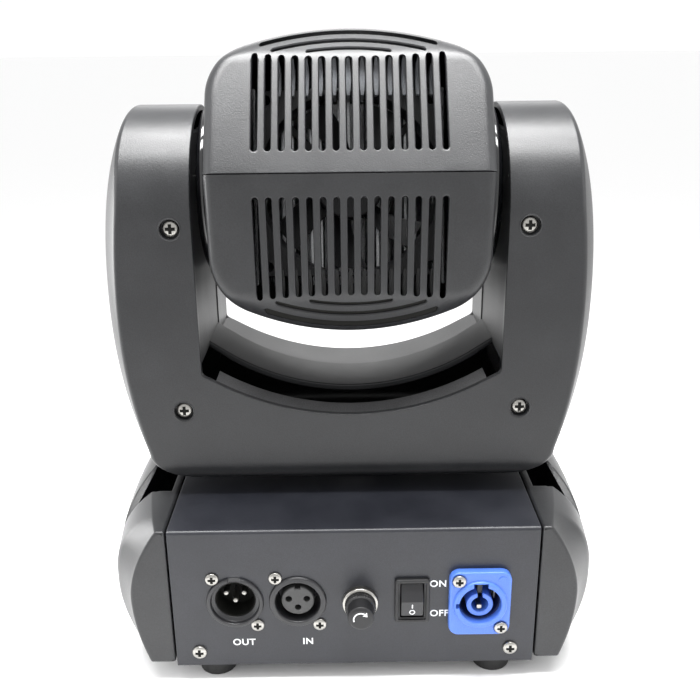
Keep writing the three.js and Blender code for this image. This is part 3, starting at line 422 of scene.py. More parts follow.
# A pale grey for the floor of the shaded yoke channel, far lighter than the plastic around it: painted fill
# light.
CHANNEL_FILL_LIGHT = material("channel_fill_light", (0.20, 0.20, 0.205), 0.5, grain=0.3, spot=0.5, mottle=0.1)
# A pale grey for the fins seen through the upper slots: painted light.
LIT_FIN = material("fin_painted_light", (0.26, 0.27, 0.29), 0.5, grain=0.2, spot=0.7)
PRINT = material("white_print", (0.80, 0.81, 0.82), 0.5, grain=0.1, spot=0.3, mottle=0.02)

FINISHES = {
    "shell_plastic": SHELL, "yoke_liner": LINER, "coated_sheet": SHEET, "rubber": RUBBER,
    "belt_rubber": BELT, "black_plastic": MATTE, "grey_plastic": GREY, "blue_plastic": BLUE,
    "plated_steel": CHROME, "gloss_black": GLOSS, "board": BOARD, "aluminium": ALU,
    "bearing_steel": STEEL, "lens": LENS,
}

# ---- base ----

CONNECTOR_Z = 41.9
XLR_OUT_X, XLR_IN_X = -52.6, -25.0
FUSE_X, FUSE_Z = 2.5, 41.3
SWITCH_X, SWITCH_Z = 25.3, 42.1
INLET_X, INLET_Z = 54.9, 41.4
SCREW_DX, SCREW_DZ = 9.5, 12.0
PANEL_SCREWS = [(-69.8, 15.9), (69.8, 15.9)]
SOCKET_SCREWS = [(x + s * SCREW_DX, CONNECTOR_Z - s * SCREW_DZ)
                 for x in (XLR_OUT_X, XLR_IN_X) for s in (-1, 1)]
INLET_SCREWS = [(INLET_X + s * SCREW_DX, INLET_Z - s * SCREW_DZ) for s in (-1, 1)]
BUTTONS = [(34.0, 51.5), (34.0, 38.5), (50.9, 51.5), (50.9, 38.5)]
DISPLAY_X, DISPLAY_Z = -14.0, 45.0
CAP_INNER_X, CAP_LOW_Z, CAP_MID_Z = 81.1, 10.0, 43.3
POCKET_HALF, POCKET_LOW_Z, POCKET_INNER_X = 43.5, 27, 84.5
RIM_FLAT, RIM_END, RIM_DIP = 13.5, 52.5, 28
PLUG_Z = 47.5
PRINT_SIZE = 4.6


def from_rear(profile):
    """A profile whose distances are measured forwards from the rear panel."""
    return [(r, REAR + w) for r, w in profile]


def make_base_cover():
    bend = 1.6
    outline = [(REAR, BOTTOM)] + arc(REAR + bend, TOP - bend, bend, 180, 90, 8)
    outline += arc(FRONT - bend, TOP - bend, bend, 90, 0, 8) + [(FRONT, BOTTOM)]
    cover = slab("base_shell", "x", outline, -80.4, 80.4, 0.35, 0.35, 3)
    through = (REAR - 2, REAR + 19)
    tools = rods([(XLR_OUT_X, CONNECTOR_Z), (XLR_IN_X, CONNECTOR_Z)], 12.1, *through)
    tools += rods([(FUSE_X, FUSE_Z)], 6.4, *through)
    tools.append(block("t", SWITCH_X, SWITCH_Z, 6.9, 10, through))
    tools += rods([(INLET_X, INLET_Z)], 12.3, *through)
    tools += rods(BUTTONS, 3.9, FRONT - 8, FRONT + 2)
    combine(cover, tools)
    show(cover, "base", SHEET, ["base_cover"])


def cap_side(y, z, at_end):
    """How far a cap's side stands from the pan axis, blending from its side to its end outline."""
    s = y - BASE_MID
    edge = 97.2 - s * s / 540
    height = abs(z - CAP_MID_Z) / 34.0

    def side(belly, power):
        fall = height ** power if z > CAP_MID_Z else 0.5 * height ** 1.9
        return edge + (belly - edge) * (1 - fall)

    return side(112 - s * s / 880, 3.2) * (1 - at_end) + side(98.6, 1.9) * at_end


def cap_outline(y, at_end, shrink):
    """A cap's closed outline in XZ, with its long edges rounded, drawn inwards by shrink."""
    heights = spread(CAP_LOW_Z, CAP_MID_Z, 16) + spread(CAP_MID_Z, TOP + 0.1, 24)[1:]
    outline = [(cap_side(y, z, at_end), z) for z in heights]
    outline = [(CAP_INNER_X, CAP_LOW_Z)] + outline + [(CAP_INNER_X, TOP + 0.1)]
    corners = (0, 1, len(heights), len(heights) + 1)
    return inset(fillet(outline, 1.3, 4, only=corners), shrink)


def merge_flat(piece, where):
    """Joins the flat faces that a test picks into one face at each end, and insets it a little.

    The corners come from a set, which has no fixed order, so a few of them vary between runs.
    """
    with edited(piece.data) as bm:
        picked = [f for f in bm.faces if where(f.calc_center_median() / MM)]
        flats = bmesh.ops.dissolve_faces(bm, faces=picked, use_verts=False)["region"]
        corners = list({v for face in flats for v in face.verts})
        bmesh.ops.remove_doubles(bm, verts=corners, dist=0.00008)
        flats = [f for f in bm.faces if where(f.calc_center_median() / MM)]
        bmesh.ops.inset_individual(bm, faces=flats, thickness=0.0002, use_even_offset=True)


def make_end_caps():
    chamfer, edge = 15.0, 1.2
    rear = [(REAR + along, 1.0, short) for along, short in rounding(edge, 4)]
    rear.insert(0, (REAR, 1.0, edge + 0.07))
    ramp = [(REAR + edge + (chamfer - edge) * t, 1 - t, 0) for t in spread(0, 1, 8)[1:-1]]
    front = [(FRONT - (y - REAR), e, s) for y, e, s in (rear + ramp)[::-1]]
    middle = [(y, 0.0, 0) for y in spread(REAR + chamfer, FRONT - chamfer, 52)]
    rings = []
    for y, at_end, shrink in rear + ramp + middle + front:
        rings.append([(x, y, z) for x, z in cap_outline(y, at_end, shrink)])
    cap = skin("cap", rings)

    def well(y):
        side = [(cap_side(y, z, 0) - 4.0, z) for z in spread(POCKET_LOW_Z, 69, 14)]
        lip = cap_side(y, TOP, 0) - 1.2
        outline = [(POCKET_INNER_X, POCKET_LOW_Z)] + side
        outline += [(lip, TOP + 0.1), (lip, TOP + 3), (POCKET_INNER_X, TOP + 3)]
        return [(x, y, z) for x, z in outline]

    def dip(s):
        return RIM_DIP * max(0.0, (s - RIM_FLAT) / (RIM_END - RIM_FLAT)) ** 1.4

    tools = [skin("t", [well(y) for y in spread(BASE_MID - POCKET_HALF, BASE_MID + POCKET_HALF, 28)])]
    outline = [(s, TOP + 0.2 - dip(s)) for s in spread(RIM_END, RIM_FLAT, 24)]
    outline = [(POCKET_HALF, TOP + 2)] + outline + [(RIM_FLAT, TOP + 2)]
    for side in (-1, 1):
        tools.append(slab("t", "x", [(BASE_MID + side * s, z) for s, z in outline], 91, 125))
    combine(cap, tools)
    merge_flat(cap, lambda p: not REAR + 0.01 < p.y < FRONT - 0.01)
    soften(cap, 0.55, 45, 2, lambda p: p.z > 48 and abs(p.y - BASE_MID) < 56, flatten=False)
    show(mirrored("left_cap", cap), "base", SHELL, ["left_end_cap"])
    show(cap, "base", SHELL, ["right_end_cap"], name="right_cap")


def make_plugs():
    """The plug in the middle of each cap's side, over the clamp bracket's socket."""
    profile = rounded_profile([(0, 0), (5.5, 0), (5.5, 2.6), (4.9, 3.1), (0, 3.2)], 0.4)
    reach = cap_side(BASE_MID, PLUG_Z, 0) - 2.4
    for side, name in ((-1, "left"), (1, "right")):
        plug = turned("plug", "x", profile, sides=48)
        for v in plug.data.vertices:
            v.co.x = side * (v.co.x + reach * MM)
            v.co.y = v.co.y * 1.5 + BASE_MID * MM
            v.co.z += PLUG_Z * MM
        if side < 0:
            plug.data.flip_normals()
        show(plug, "base", MATTE, name=name + "_bracket_plug")


def make_feet():
    profile = rounded_profile([(0, 0), (3, 0), (3, 1.2), (5.6, 1.2), (5.6, 0), (8.5, 0), (8.3, 4),
                               (7.9, 8.4), (0, 8.4)], 0.5)
    for x, side in ((-63.5, "left"), (63.5, "right")):
        for y, end in ((-63.0, "rear"), (74.0, "front")):
            foot = turned(f"{end}_{side}_rubber_foot", "z", profile, (x, y, 0))
            show(foot, "base", RUBBER, [f"{end}_{side}_foot"])


def cross_recess(name, at, head, height, grow):
    """A Phillips recess as a solid cross that narrows inwards. at is the screw's seat."""
    x, seat, z = at
    arm, half = head * 0.62 + grow, head * 0.19 + grow
    deep, shallow = seat - height * 0.2 - grow, seat - height - (0.5 if grow else -0.3)
    bars = []
    for u, v in ((arm, half), (half, arm)):
        rings = []
        for y, k in ((shallow, 1.06), (deep, 0.7)):
            dx, dz = (u * k, v) if u > v else (u, v * k)
            corners = ((-dx, -dz), (dx, -dz), (dx, dz), (-dx, dz))
            rings.append([(x + a, y, z + b) for a, b in corners])
        bars.append(skin(name, rings))
    return bars


def phillips_screw(name, at, head, height):
    """A plated pan-head screw that looks along -Y, with a cross recess. at is its seat's centre."""
    x, seat, z = at
    dome = [(0, seat - height)] + [(head * sin(t), seat - height * (0.42 + 0.58 * cos(t)))
                                   for t in spread(0.25, pi / 2, 8)]
    screw = turned(name, "y", dome + [(head, seat), (0, seat)], (x, 0, z), 48)
    combine(screw, cross_recess("t", at, head, height, 0.05))
    return screw


def cross_shade_fill(at, head, height):
    """A dark solid cross that fills a cross recess to just under the head's face: painted shade."""
    bars = cross_recess("r", at, head, height, 0)
    return combine(bars[0], bars[1:], "UNION")


def make_panel_screws():
    places = [((x, REAR, z), 3.2, 1.8) for x, z in PANEL_SCREWS]
    for i, (at, head, height) in enumerate(places):
        screw = phillips_screw(f"cover_screw_{i + 1}", at, head, height)
        show(screw, "base", CHROME, [f"panel_screw_{i + 1}"])
    seats = [(x, REAR, z) for x, z in SOCKET_SCREWS] + [(x, REAR - 3.6, z) for x, z in INLET_SCREWS]
    for i, seat in enumerate(seats):
        screw = phillips_screw(f"socket_screw_{i + 1}", seat, 2.9, 1.6)
        show(screw, "base", CHROME, [f"connector_screw_{i + 1}"])
        places.append((seat, 2.9, 1.6))
    # Dark crosses in every screw recess: painted shade.
    cross_shades = [cross_shade_fill(*place) for place in places]
    show(together("panel_screw_cross_shade", cross_shades), "base", PAINTED_SHADE)


def contact_places(x, upper, lower):
    """Three contacts: two side by side at one height and one below them."""
    return [(x - 4.0, CONNECTOR_Z + upper), (x + 4.0, CONNECTOR_Z + upper), (x, CONNECTOR_Z + lower)]


def make_sockets():
    at = (XLR_OUT_X, 0, CONNECTOR_Z)
    rim = from_rear([(0, 12), (8.9, 12), (8.9, 1.5), (10.6, 0.6), (10.6, -0.9), (11.0, -1.5),
                     (12.3, -1.3), (12.7, -0.1), (12.0, 0.1), (12.0, 18), (0, 18)])
    shell = turned("data_out_shell", "y", rounded_profile(rim, 0.3), at, 96)
    combine(shell, [block("t", at[0], CONNECTOR_Z + 11, 2.6, 3, (REAR - 3, REAR - 0.2))])
    show(shell, "base", ROCKER, ["xlr_out_socket"])
    # A near-black lining inside the socket's well: painted shade.
    well = from_rear([(8.85, 1.8), (8.85, 11.8), (0, 11.8), (0, 11.4), (8.5, 11.4), (8.5, 1.8)])
    show(turned("data_out_well_shade", "y", well, at, 96, loop=True), "base", PAINTED_SHADE)
    pins = []
    tip = [(0, REAR + 1.2)] + [(1.25 * sin(t), REAR + 2.2 - cos(t)) for t in spread(0.2, pi / 2, 5)]
    for x, z in contact_places(XLR_OUT_X, 3.4, -0.5):
        pins.append(turned("p", "y", tip + [(1.25, REAR + 12.5), (0, REAR + 12.5)], (x, 0, z), 24))
    show(together("data_out_pins", pins), "base", CHROME)

    at = (XLR_IN_X, 0, CONNECTOR_Z)
    rim = from_rear([(0, 11.5), (9.9, 11.5), (9.9, -0.9), (10.4, -1.5), (12.3, -1.2), (12.8, -0.1),
                     (12.0, 0.1), (12.0, 18), (0, 18)])
    shell = turned("data_in_shell", "y", rounded_profile(rim, 0.3), at, 96)
    show(shell, "base", ROCKER, ["xlr_in_socket"])
    profile = from_rear([(0, 0.3), (6.9, 0.3), (7.3, 0.8), (7.3, 12), (0, 12)])
    insert = turned("data_in_insert", "y", rounded_profile(profile, 0.4), at)
    holes = rods(contact_places(XLR_IN_X, 0.9, -3.5), 1.45, REAR - 2, REAR + 9, 24)
    notch = box("t", (at[0] - 1.2, at[0] + 1.2), (REAR - 2, REAR + 4), (CONNECTOR_Z + 6.0, CONNECTOR_Z + 9))
    combine(insert, holes + [notch])
    soften(insert, 0.18, 40, 2, lambda p: p.y < REAR + 1)
    show(insert, "base", GREY)


def make_fuse():
    at = (FUSE_X, 0, FUSE_Z)
    ring = rounded_profile(from_rear([(6.9, 0.1), (7.9, 0.1), (7.9, -2.3), (7.0, -2.9), (6.0, -2.6),
                                      (6.0, 5), (6.9, 5)]), 0.4)
    show(turned("fuse_ring", "y", ring, at, 96, loop=True), "base", CHROME, ["fuse_holder"])

    def knurl(radius, depth, y):
        """A ring with 40 small teeth."""
        ring = []
        for i in range(80):
            reach, t = radius - (depth if i % 2 else 0), i * pi / 40
            ring.append((at[0] + reach * cos(t), y, at[2] + reach * sin(t)))
        return ring

    collar = skin("c", [knurl(6.0, 0.1, REAR - 2.2), knurl(6.7, 0.35, REAR - 2.9),
                        knurl(6.8, 0.35, REAR - 5.4), knurl(6.3, 0.2, REAR - 6.0),
                        knurl(5.9, 0, REAR - 6.2)])
    profile = from_rear([(0, -13), (4.6, -13), (5.7, -12.2), (5.75, -6), (5.75, -2.4), (0, -2.4)])
    stem = turned("s", "y", rounded_profile(profile, 0.45), at, 96)
    show(together("fuse_knob", [collar, stem]), "fuse_cap", MATTE, ["fuse_cap"])
    band = arc(at[0], at[2], 3.4, 60, 200, 20) + arc(at[0], at[2], 2.8, 200, 60, 20)
    tip = [(at[0] + 3.1 * cos(radians(t)) + dx, at[2] + 3.1 * sin(radians(t)) + dz)
           for t, dx, dz in ((58, 0.9, 0.9), (58, -0.9, -0.9), (24, 0.0, 0.0))]
    marks = [slab("m", "y", outline, REAR - 13.06, REAR - 12.9) for outline in (band, tip)]
    show(together("fuse_arrow", marks), "fuse_cap", PRINT)


def make_switch():
    outline = rounded_box(SWITCH_X, SWITCH_Z, 15.3, 22, 1.4)
    bezel = slab("switch_frame", "y", outline, REAR - 2, REAR + 0.2, 0.7, 0, 5)
    well = block("t", SWITCH_X, SWITCH_Z, 5.2, 8.7, (REAR - 5, REAR + 12))
    lip = slab("t", "y", rounded_box(SWITCH_X, SWITCH_Z, 12.2, 19.2, 0.8), REAR - 5, REAR - 1.2)
    combine(bezel, [well, lip])
    soften(bezel, 0.25, 50, 2)
    body = block("b", SWITCH_X, SWITCH_Z, 6.6, 9.7, (REAR + 4, REAR + 16))
    show(together("switch_frame", [bezel, body]), "base", MATTE, ["switch_bezel"])
    outline = fillet([(5, -3), (5, 3), (0.4, 7.8), (-1.4, 7.8), (-4, 0), (-1.4, -7.8), (0.4, -7.8)], 0.7, 4)
    rocker = slab("switch_key", "x", outline, -4.9, 4.9, 0.4, 0.4, 3)
    ring = slab("m", "y", circle(0, -5.6, 1.3, 32), -0.06, 0.2)
    combine(ring, [slab("t", "y", circle(0, -5.6, 0.85, 32), -0.5, 0.6)])
    marks = [slab("m", "y", rounded_box(0, -2.3, 0.5, 2.2, 0.2, 2), -0.06, 0.2), ring]
    lean = atan2(2.6, 7.8)
    for mark in marks:
        for v in mark.data.vertices:
            down = -v.co.z / MM
            v.co.y += (-4 + down * tan(lean)) * MM
    place = Matrix.Translation((SWITCH_X * MM, (REAR + 0.6) * MM, SWITCH_Z * MM))
    place = place @ Matrix.Rotation(radians(-8), 4, "X")
    marks = together("switch_marks", marks)
    for piece in (rocker, marks):
        piece.data.transform(place)
    show(rocker, "switch_rocker", ROCKER, ["switch_rocker"])
    show(marks, "switch_rocker", PRINT)


def make_inlet():
    at = (INLET_X, 0, INLET_Z)
    outline = rounded_box(INLET_X, INLET_Z, 27, 32, 4.5, 8)
    plate = slab("inlet_plate", "y", outline, REAR - 3.6, REAR, 0.8, 0.1, 5)
    profile = from_rear([(0, -4.9), (11.2, -4.9), (11.9, -4.0), (11.9, 14), (0, 14)])
    collar = turned("c", "y", rounded_profile(profile, 0.5), at, 96)
    boss = rods([(INLET_X + SCREW_DX, INLET_Z + SCREW_DZ)], 1.9, REAR - 3.9, REAR - 2)
    combine(plate, [collar] + boss, "UNION")
    bore = from_rear([(0, -8), (9.9, -8), (9.9, -5.4), (9.2, -4.5), (9.2, 12), (0, 12)])

    def keys():
        """New tools for the key ways at the top and the left."""
        ys = (REAR - 8, REAR + 11)
        return [box("t", (INLET_X - 3.2, INLET_X + 3.2), ys, (INLET_Z + 6, INLET_Z + 11.0)),
                box("t", (INLET_X - 10.8, INLET_X - 6), ys, (INLET_Z - 1.2, INLET_Z + 1.2))]

    tools = [turned("t", "y", bore, at, 96)] + keys()
    tools += rods(INLET_SCREWS, 3.4, REAR - 4.6, REAR - 3.2)
    combine(plate, tools)
    show(plate, "base", BLUE, ["mains_inlet"])
    # A thin lining of darker blue inside the bore: painted shade on the moulded blue.
    profile = from_rear([(8.7, -0.6), (9.15, -1.2), (9.15, 12), (8.7, 12)])
    throat = turned("inlet_throat", "y", profile, at, 96, loop=True)
    combine(throat, keys())
    show(throat, "base", THROAT_SHADE)
    low = (INLET_X, 0, INLET_Z - 0.9)
    profile = rounded_profile(from_rear([(5.9, 13), (5.9, -2.6), (3.7, -2.6), (3.7, 13)]), 0.5)
    core = turned("inlet_core", "y", profile, low, loop=True)
    slot = (INLET_X - 1.2, INLET_X + 1.2)
    combine(core, [box("t", slot, (REAR - 4, REAR + 6), (INLET_Z + 1, INLET_Z + 8))])
    show(core, "base", BLUE)
    # A matte black disc closes the back of the bore; the matte black strip in the key slot over the core is
    # painted shade.
    floor = rod("f", "y", 9.1, REAR + 8, REAR + 12, at=at, sides=64)
    thin = (INLET_X - 1.1, INLET_X + 1.1)
    strip = box("f", thin, (REAR - 1.0, REAR + 8.5), (INLET_Z + 4.2, INLET_Z + 9.6), 0.2)
    show(together("inlet_floor_and_slot_shade", [floor, strip]), "base", MATTE)
    blades = [box("b", thin, (REAR - 1.2, REAR + 9), (low[2] - 3.0, low[2] - 1.0), 0.25)]
    for x in (INLET_X - 7.4, INLET_X + 7.4):
        blades.append(block("b", x, INLET_Z, 0.4, 2, (REAR + 4, REAR + 9), 0.2))
    show(together("inlet_contacts", blades), "base", CHROME)


def label(name, words, x, z):
    """Raised print on the rear panel, centred on a point."""
    text = bpy.data.curves.new(name, "FONT")
    text.body = words
    text.size = PRINT_SIZE * MM
    text.align_x = "CENTER"
    text.align_y = "CENTER"
    text.extrude = 0.00004
    text.offset = 0.00009
    text.space_character = 1.08
    drawn = add(name, text)
    graph = bpy.context.evaluated_depsgraph_get()
    data = bpy.data.meshes.new_from_object(drawn.evaluated_get(graph))
    bpy.data.objects.remove(drawn)
    upright = Matrix.Rotation(pi / 2, 4, "X")
    data.transform(Matrix.Translation((x * MM, REAR * MM, z * MM)) @ upright)
    with edited(data) as bm:
        weld(bm)
    show(add(name, data), "base", PRINT)


def make_labels():
    label("print_on", "ON", SWITCH_X + 11.4, SWITCH_Z + 7.6)
    label("print_off", "OFF", SWITCH_X + 12.2, SWITCH_Z - 7.7)
    label("print_out", "OUT", XLR_OUT_X + 3, CONNECTOR_Z - 21.4)
    label("print_in", "IN", XLR_IN_X + 4, CONNECTOR_Z - 21.4)


def make_controls():
    outline = rounded_box(DISPLAY_X, DISPLAY_Z, 50, 22, 3)
    window = slab("display_glass", "y", outline, FRONT + 0.1, FRONT + 1.6, 0, 0.6, 5)
    show(window, "base", GLOSS, ["display_window"])
    profile = [(0, -4.1), (4.5, -4.1), (4.5, -3.3), (3.6, -3.3), (3.6, 1.2), (3.0, 1.75), (1.5, 1.45),
               (0, 1.35)]
    profile = rounded_profile([(r, FRONT + w) for r, w in profile], 0.4)
    for (x, z), name in zip(BUTTONS, ("mode", "enter", "up", "down")):
        key = turned(name + "_key", "y", profile, (x, 0, z))
        show(key, name + "_button", MATTE, [name + "_button"])


make_base_cover()
make_end_caps()
make_plugs()
make_feet()
make_panel_screws()
make_sockets()
make_fuse()
make_switch()
make_inlet()
make_labels()
make_controls()

# ---- yoke ----

YOKE_SCREWS = [(x, z) for z in (120.2, 201.7) for x in (-74.5, 74.5)]
ARM_LOW_Z, ARM_WIDE_Z, ARM_ROUND_Z = 84.0, 165, 204
ARM_DEPTH, ARM_RISE = 45.0, 44.6
CORNER_HEIGHT = 15
WIDE, TALL = (-130, 130), (60, 270)


def yoke_width(y, z, shrink):
    """The yoke's outer half width at a depth and a height."""
    sweep, bend = 34.0, ARM_LOW_Z + shrink + CORNER_HEIGHT

    def face(h):
        if h > ARM_WIDE_Z:
            reach = (h - ARM_WIDE_Z) / 85
            return 99.5 - 11.2 * reach ** 2 - 3.0 * reach ** 6
        return 99.5 - 13.5 * ((ARM_WIDE_Z - h) / 81) ** 2.2

    def full(h):
        away = (h - ARM_WIDE_Z) / (110 if h > ARM_WIDE_Z else 95)
        return face(h) + 12.2 * (1 - (y / ARM_DEPTH) ** 2) * (1 - away ** 4) - shrink

    if z >= bend:
        return full(z)
    drop = (bend - z) / CORNER_HEIGHT
    return full(bend) - sweep + sweep * sqrt(max(0.0, 1 - drop * drop))


def yoke_body(name, shrink, edge):
    """Both arms and the bridge as one closed body. Its rings run up the rear, over and down."""
    half, rise, low = ARM_DEPTH - shrink, ARM_RISE - shrink, ARM_LOW_Z + shrink
    heights = [low + CORNER_HEIGHT * (1 - cos(t)) for t in quarter(12)]
    heights += spread(low + CORNER_HEIGHT, ARM_ROUND_Z, 30)[1:]
    turn = 10.0 - shrink

    def depth(z):
        drop = max(0.0, (low + turn - z) / turn)
        return half - turn + turn * sqrt(max(0.0, 1 - drop * drop))

    def ring(s, drop):
        share = 1 - s / half
        points = [(-depth(z) * share, z) for z in heights]
        points += [(-half * share * cos(t), ARM_ROUND_Z + rise * share * sin(t))
                   for t in spread(0, pi, 48)[1:-1]]
        points += [(depth(z) * share, z) for z in heights[::-1]]
        return [(yoke_width(y, z, shrink) - drop, y, z) for y, z in points]

    right = [ring(*step) for step in rounding(edge, 5)]
    right += [ring(s, 0) for s in spread(edge, half, 22)[1:]]
    left = [[(-x, y, z) for x, y, z in points] for points in right[::-1]]
    return skin(name, left + right, capped=False)


def gap_outline(wall, floor, radius, corner):
    """The U-shaped gap for the head, with an arched floor."""
    base = floor + radius
    curve = [(x, base - sqrt(radius * radius - x * x)) for x in spread(-wall + 12, wall - 12, 60)]
    return [(-wall, 300), (-wall, corner)] + curve + [(wall, corner), (wall, 300)]


def shaft_hole():
    return rod("t", "z", 20.4, 80, 92, sides=96)


def make_yoke_covers():
    rear = yoke_body("cover", 0, 1.6)
    combine(rear, [yoke_body("t", 2.5, 0.6)])
    combine(rear, [together("t", rods(YOKE_SCREWS, 6.2, -44.0, -30))], "UNION")
    inside = gap_outline(65.5, 118, 120, 137)
    gap = slab("t", "y", fillet(inside, 3, 5, only=(1, len(inside) - 2)), -60, 60)
    combine(rear, [together("t", rods(YOKE_SCREWS, 4.25, -50, -42, 64)), gap,
                   box("t", WIDE, (-0.1, 60), TALL), shaft_hole()])

    def on_skin(p):
        depth = abs(p.y)
        if p.z >= ARM_ROUND_Z:
            depth = hypot(p.y, (p.z - ARM_ROUND_Z) * ARM_DEPTH / ARM_RISE)
        return depth > 44.3 and abs(p.x) < 90

    soften(rear, 0.55, 40, 3, on_skin)
    front = mirrored("yoke_front_shell", rear, 1)
    outside = gap_outline(68, 115.5, 122.5, 136)
    lining = slab("t", "y", outside + inside[::-1], 15.3, 43.5, 0.5)
    combine(lining, [yoke_body("t", 0.6, 0.6)], "INTERSECT")
    combine(front, [lining], "UNION")
    show(rear, "yoke", SHELL, ["yoke_rear_cover"], name="yoke_rear_shell")
    show(front, "yoke", SHELL, ["yoke_front_cover"])
    lip = yoke_body("seam_lip", 2.55, 0.6)
    lip_gap = slab("t", "y", gap_outline(70, 113.5, 124.5, 138), -60, 60)
    combine(lip, [yoke_body("t", 3.7, 0.6), lip_gap, box("t", WIDE, (2.5, 60), TALL),
                  box("t", WIDE, (-60, -2.5), TALL), shaft_hole()])
    show(lip, "yoke", SHELL)
    rings = []
    profile = [(4.2, 44.7), (5.0, 44.7), (4.9, 45.1), (4.6, 45.25), (4.3, 45.1)]
    for x, z in YOKE_SCREWS:
        for side in (-1, 1):
            ring = [(r, side * w) for r, w in profile]
            rings.append(turned("r", "y", ring, (x, 0, z), loop=True))
    show(together("screw_wells", rings), "yoke", SHELL)
    cross_shades = []
    for i, (x, z) in enumerate(YOKE_SCREWS):
        place = ((x, -42.1, z), 3.5, 2.1)
        screw = phillips_screw(f"rear_yoke_screw_{i + 1}", *place)
        show(mirrored(f"front_yoke_screw_{i + 1}", screw, 1), "yoke", CHROME)
        show(screw, "yoke", CHROME, [f"yoke_screw_{i + 1}"])
        # The dark crosses in these screws are painted shade.
        near = cross_shade_fill(*place)
        cross_shades += [near, mirrored("far", near, 1)]
    show(together("yoke_screw_cross_shade", cross_shades), "yoke", PAINTED_SHADE)


def make_yoke_band():
    """The band that lines the U between the covers and rises behind the hub discs."""
    top = 238.0
    inner = [(x, min(z, top)) for x, z in gap_outline(66, 120.3, 106, 143)]
    outer = [(x, min(z, top)) for x, z in gap_outline(69, 117.3, 109, 142)]
    band = slab("yoke_band", "y", outer + inner[::-1], -15, 15, 0.8, 0.8)
    for xs in ((-69, -66), (66, 69)):
        wall = box("t", xs, (-43, -12), (141, top))
        combine(wall, [yoke_body("t", 2.8, 0.6)], "INTERSECT")
        combine(band, [wall], "UNION")
    show(band, "yoke", LINER, ["yoke_frame"])
    # An arched floor in the rear channel, in that pale grey: painted light where the channel lies in shade.
    arch = [(x, 231 - sqrt(120 ** 2 - x * x)) for x in spread(-62, 62, 48)]
    below = [(x, z - 2) for x, z in arch[::-1]]
    channel = slab("yoke_channel", "y", arch + below, -42.2, -15.4, 0.4)
    show(channel, "yoke", CHANNEL_FILL_LIGHT)


# ---- head ----

HEAD_TOP, HEAD_HALF, ARCH, CORNER = 63.2, 57.6, 108.0, 24.0
RIDGE, CREASE_Y, CREASE_Z, FACET_Y = -63.0, -47.2, 48.0, -32.5
HEAD_FRONT = 46.0
SLOT_PITCH, SLOT_COUNT = 5.34, 15


def head_outline(s, low=0.15):
    """The upper half of the head's outline in XZ, drawn inwards by s, from right to left."""
    width, arm, radius = HEAD_HALF - s, ARCH - s, CORNER - s
    centre = HEAD_TOP - ARCH
    lift = sqrt((ARCH - CORNER) ** 2 - (HEAD_HALF - CORNER) ** 2)
    meet = degrees(atan2(lift, HEAD_HALF - CORNER))
    side = [(width, z) for z in spread(low, centre + lift, 8)[:-1]]
    bend = arc(HEAD_HALF - CORNER, centre + lift, radius, 0, meet, 22)
    crown = arc(0, centre, arm, meet, 180 - meet, 60)[1:-1]
    right = side + bend
    return right + crown + [(-x, z) for x, z in right[::-1]]


def rear_plane(z):
    return RIDGE + (CREASE_Y - RIDGE) / CREASE_Z * z


def facet_plane(z):
    return CREASE_Y + (FACET_Y - CREASE_Y) / (HEAD_TOP - CREASE_Z) * (z - CREASE_Z)


def head_rear(z):
    """The depth of the head's rear surface: the sloped face, then the facet above its crease."""
    a, b = rear_plane(z), facet_plane(z)
    near = max(0.0, 1.6 - abs(a - b))
    return max(a, b) + near * near / 6.4


def head_half(name, shrink, edge, front, low=0.15):
    """The casing's upper half as a closed body, drawn inwards, with its rear edge rounded."""
    rings = [[(x, front, z) for x, z in head_outline(shrink, low)]]
    last = 22.5
    levels = rounding(edge, 7) + [(s, 0) for s in spread(edge, last, 24)[1:] if s < last - shrink]
    for s, back in levels:
        rings.append([(x, head_rear(z) + back + shrink, z) for x, z in head_outline(shrink + s, low)])
    return skin(name, rings)


def slot_x(i):
    return (i - (SLOT_COUNT - 1) / 2) * SLOT_PITCH


def slot_tools():
    tools = []
    for i in range(SLOT_COUNT):
        x = slot_x(i)
        low, high = 8.9, 47.4 + 0.0014 * x * x
        outline = rounded_box(x, (low + high) / 2, 2.3, high - low, 1.14, 6)
        rings = []
        for depth, grow in ((-2.5, 0.62), (0.0, 0.5), (0.2, 0.2), (0.6, 0.0), (12, 0.0)):
            rings.append([(u, rear_plane(v) + depth, v) for u, v in inset(outline, -grow)])
        tools.append(skin("t", rings))
    return tools


def vent_solids(levels=((-2.5, 0.4), (0.0, 0.3), (0.45, 0.0), (9, 0.0))):
    """Three vents that follow the arched top in the facet. A level is a depth and a growth."""
    slope = (FACET_Y - CREASE_Y) / (HEAD_TOP - CREASE_Z)
    normal = Vector((0, -1, slope)).normalized()
    tools = []
    for reach, start, end in ((36.0, 1.7, 4.2), (31.0, 7.0, 8.5), (17.0, 11.2, 12.4)):
        rings = []
        half, middle = (end - start) / 2, (start + end) / 2
        for depth, grow in levels:
            ring = []
            for side, xs in ((-1, spread(-1, 1, 40)), (1, spread(1, -1, 40))):
                for t in xs:
                    x = (reach + grow) * sin(t * pi / 2)
                    tip = max(0.0, abs(x) - (reach - half)) / (half + grow)
                    wide = (half + grow) * sqrt(max(0.0004, 1 - min(1, tip) ** 2))
                    z = HEAD_TOP - ARCH + sqrt((ARCH - middle - side * wide) ** 2 - x * x)
                    ring.append(Vector((x, facet_plane(z), z)) - normal * depth)
            rings.append(ring)
        tools.append(skin("t", rings))
    return tools


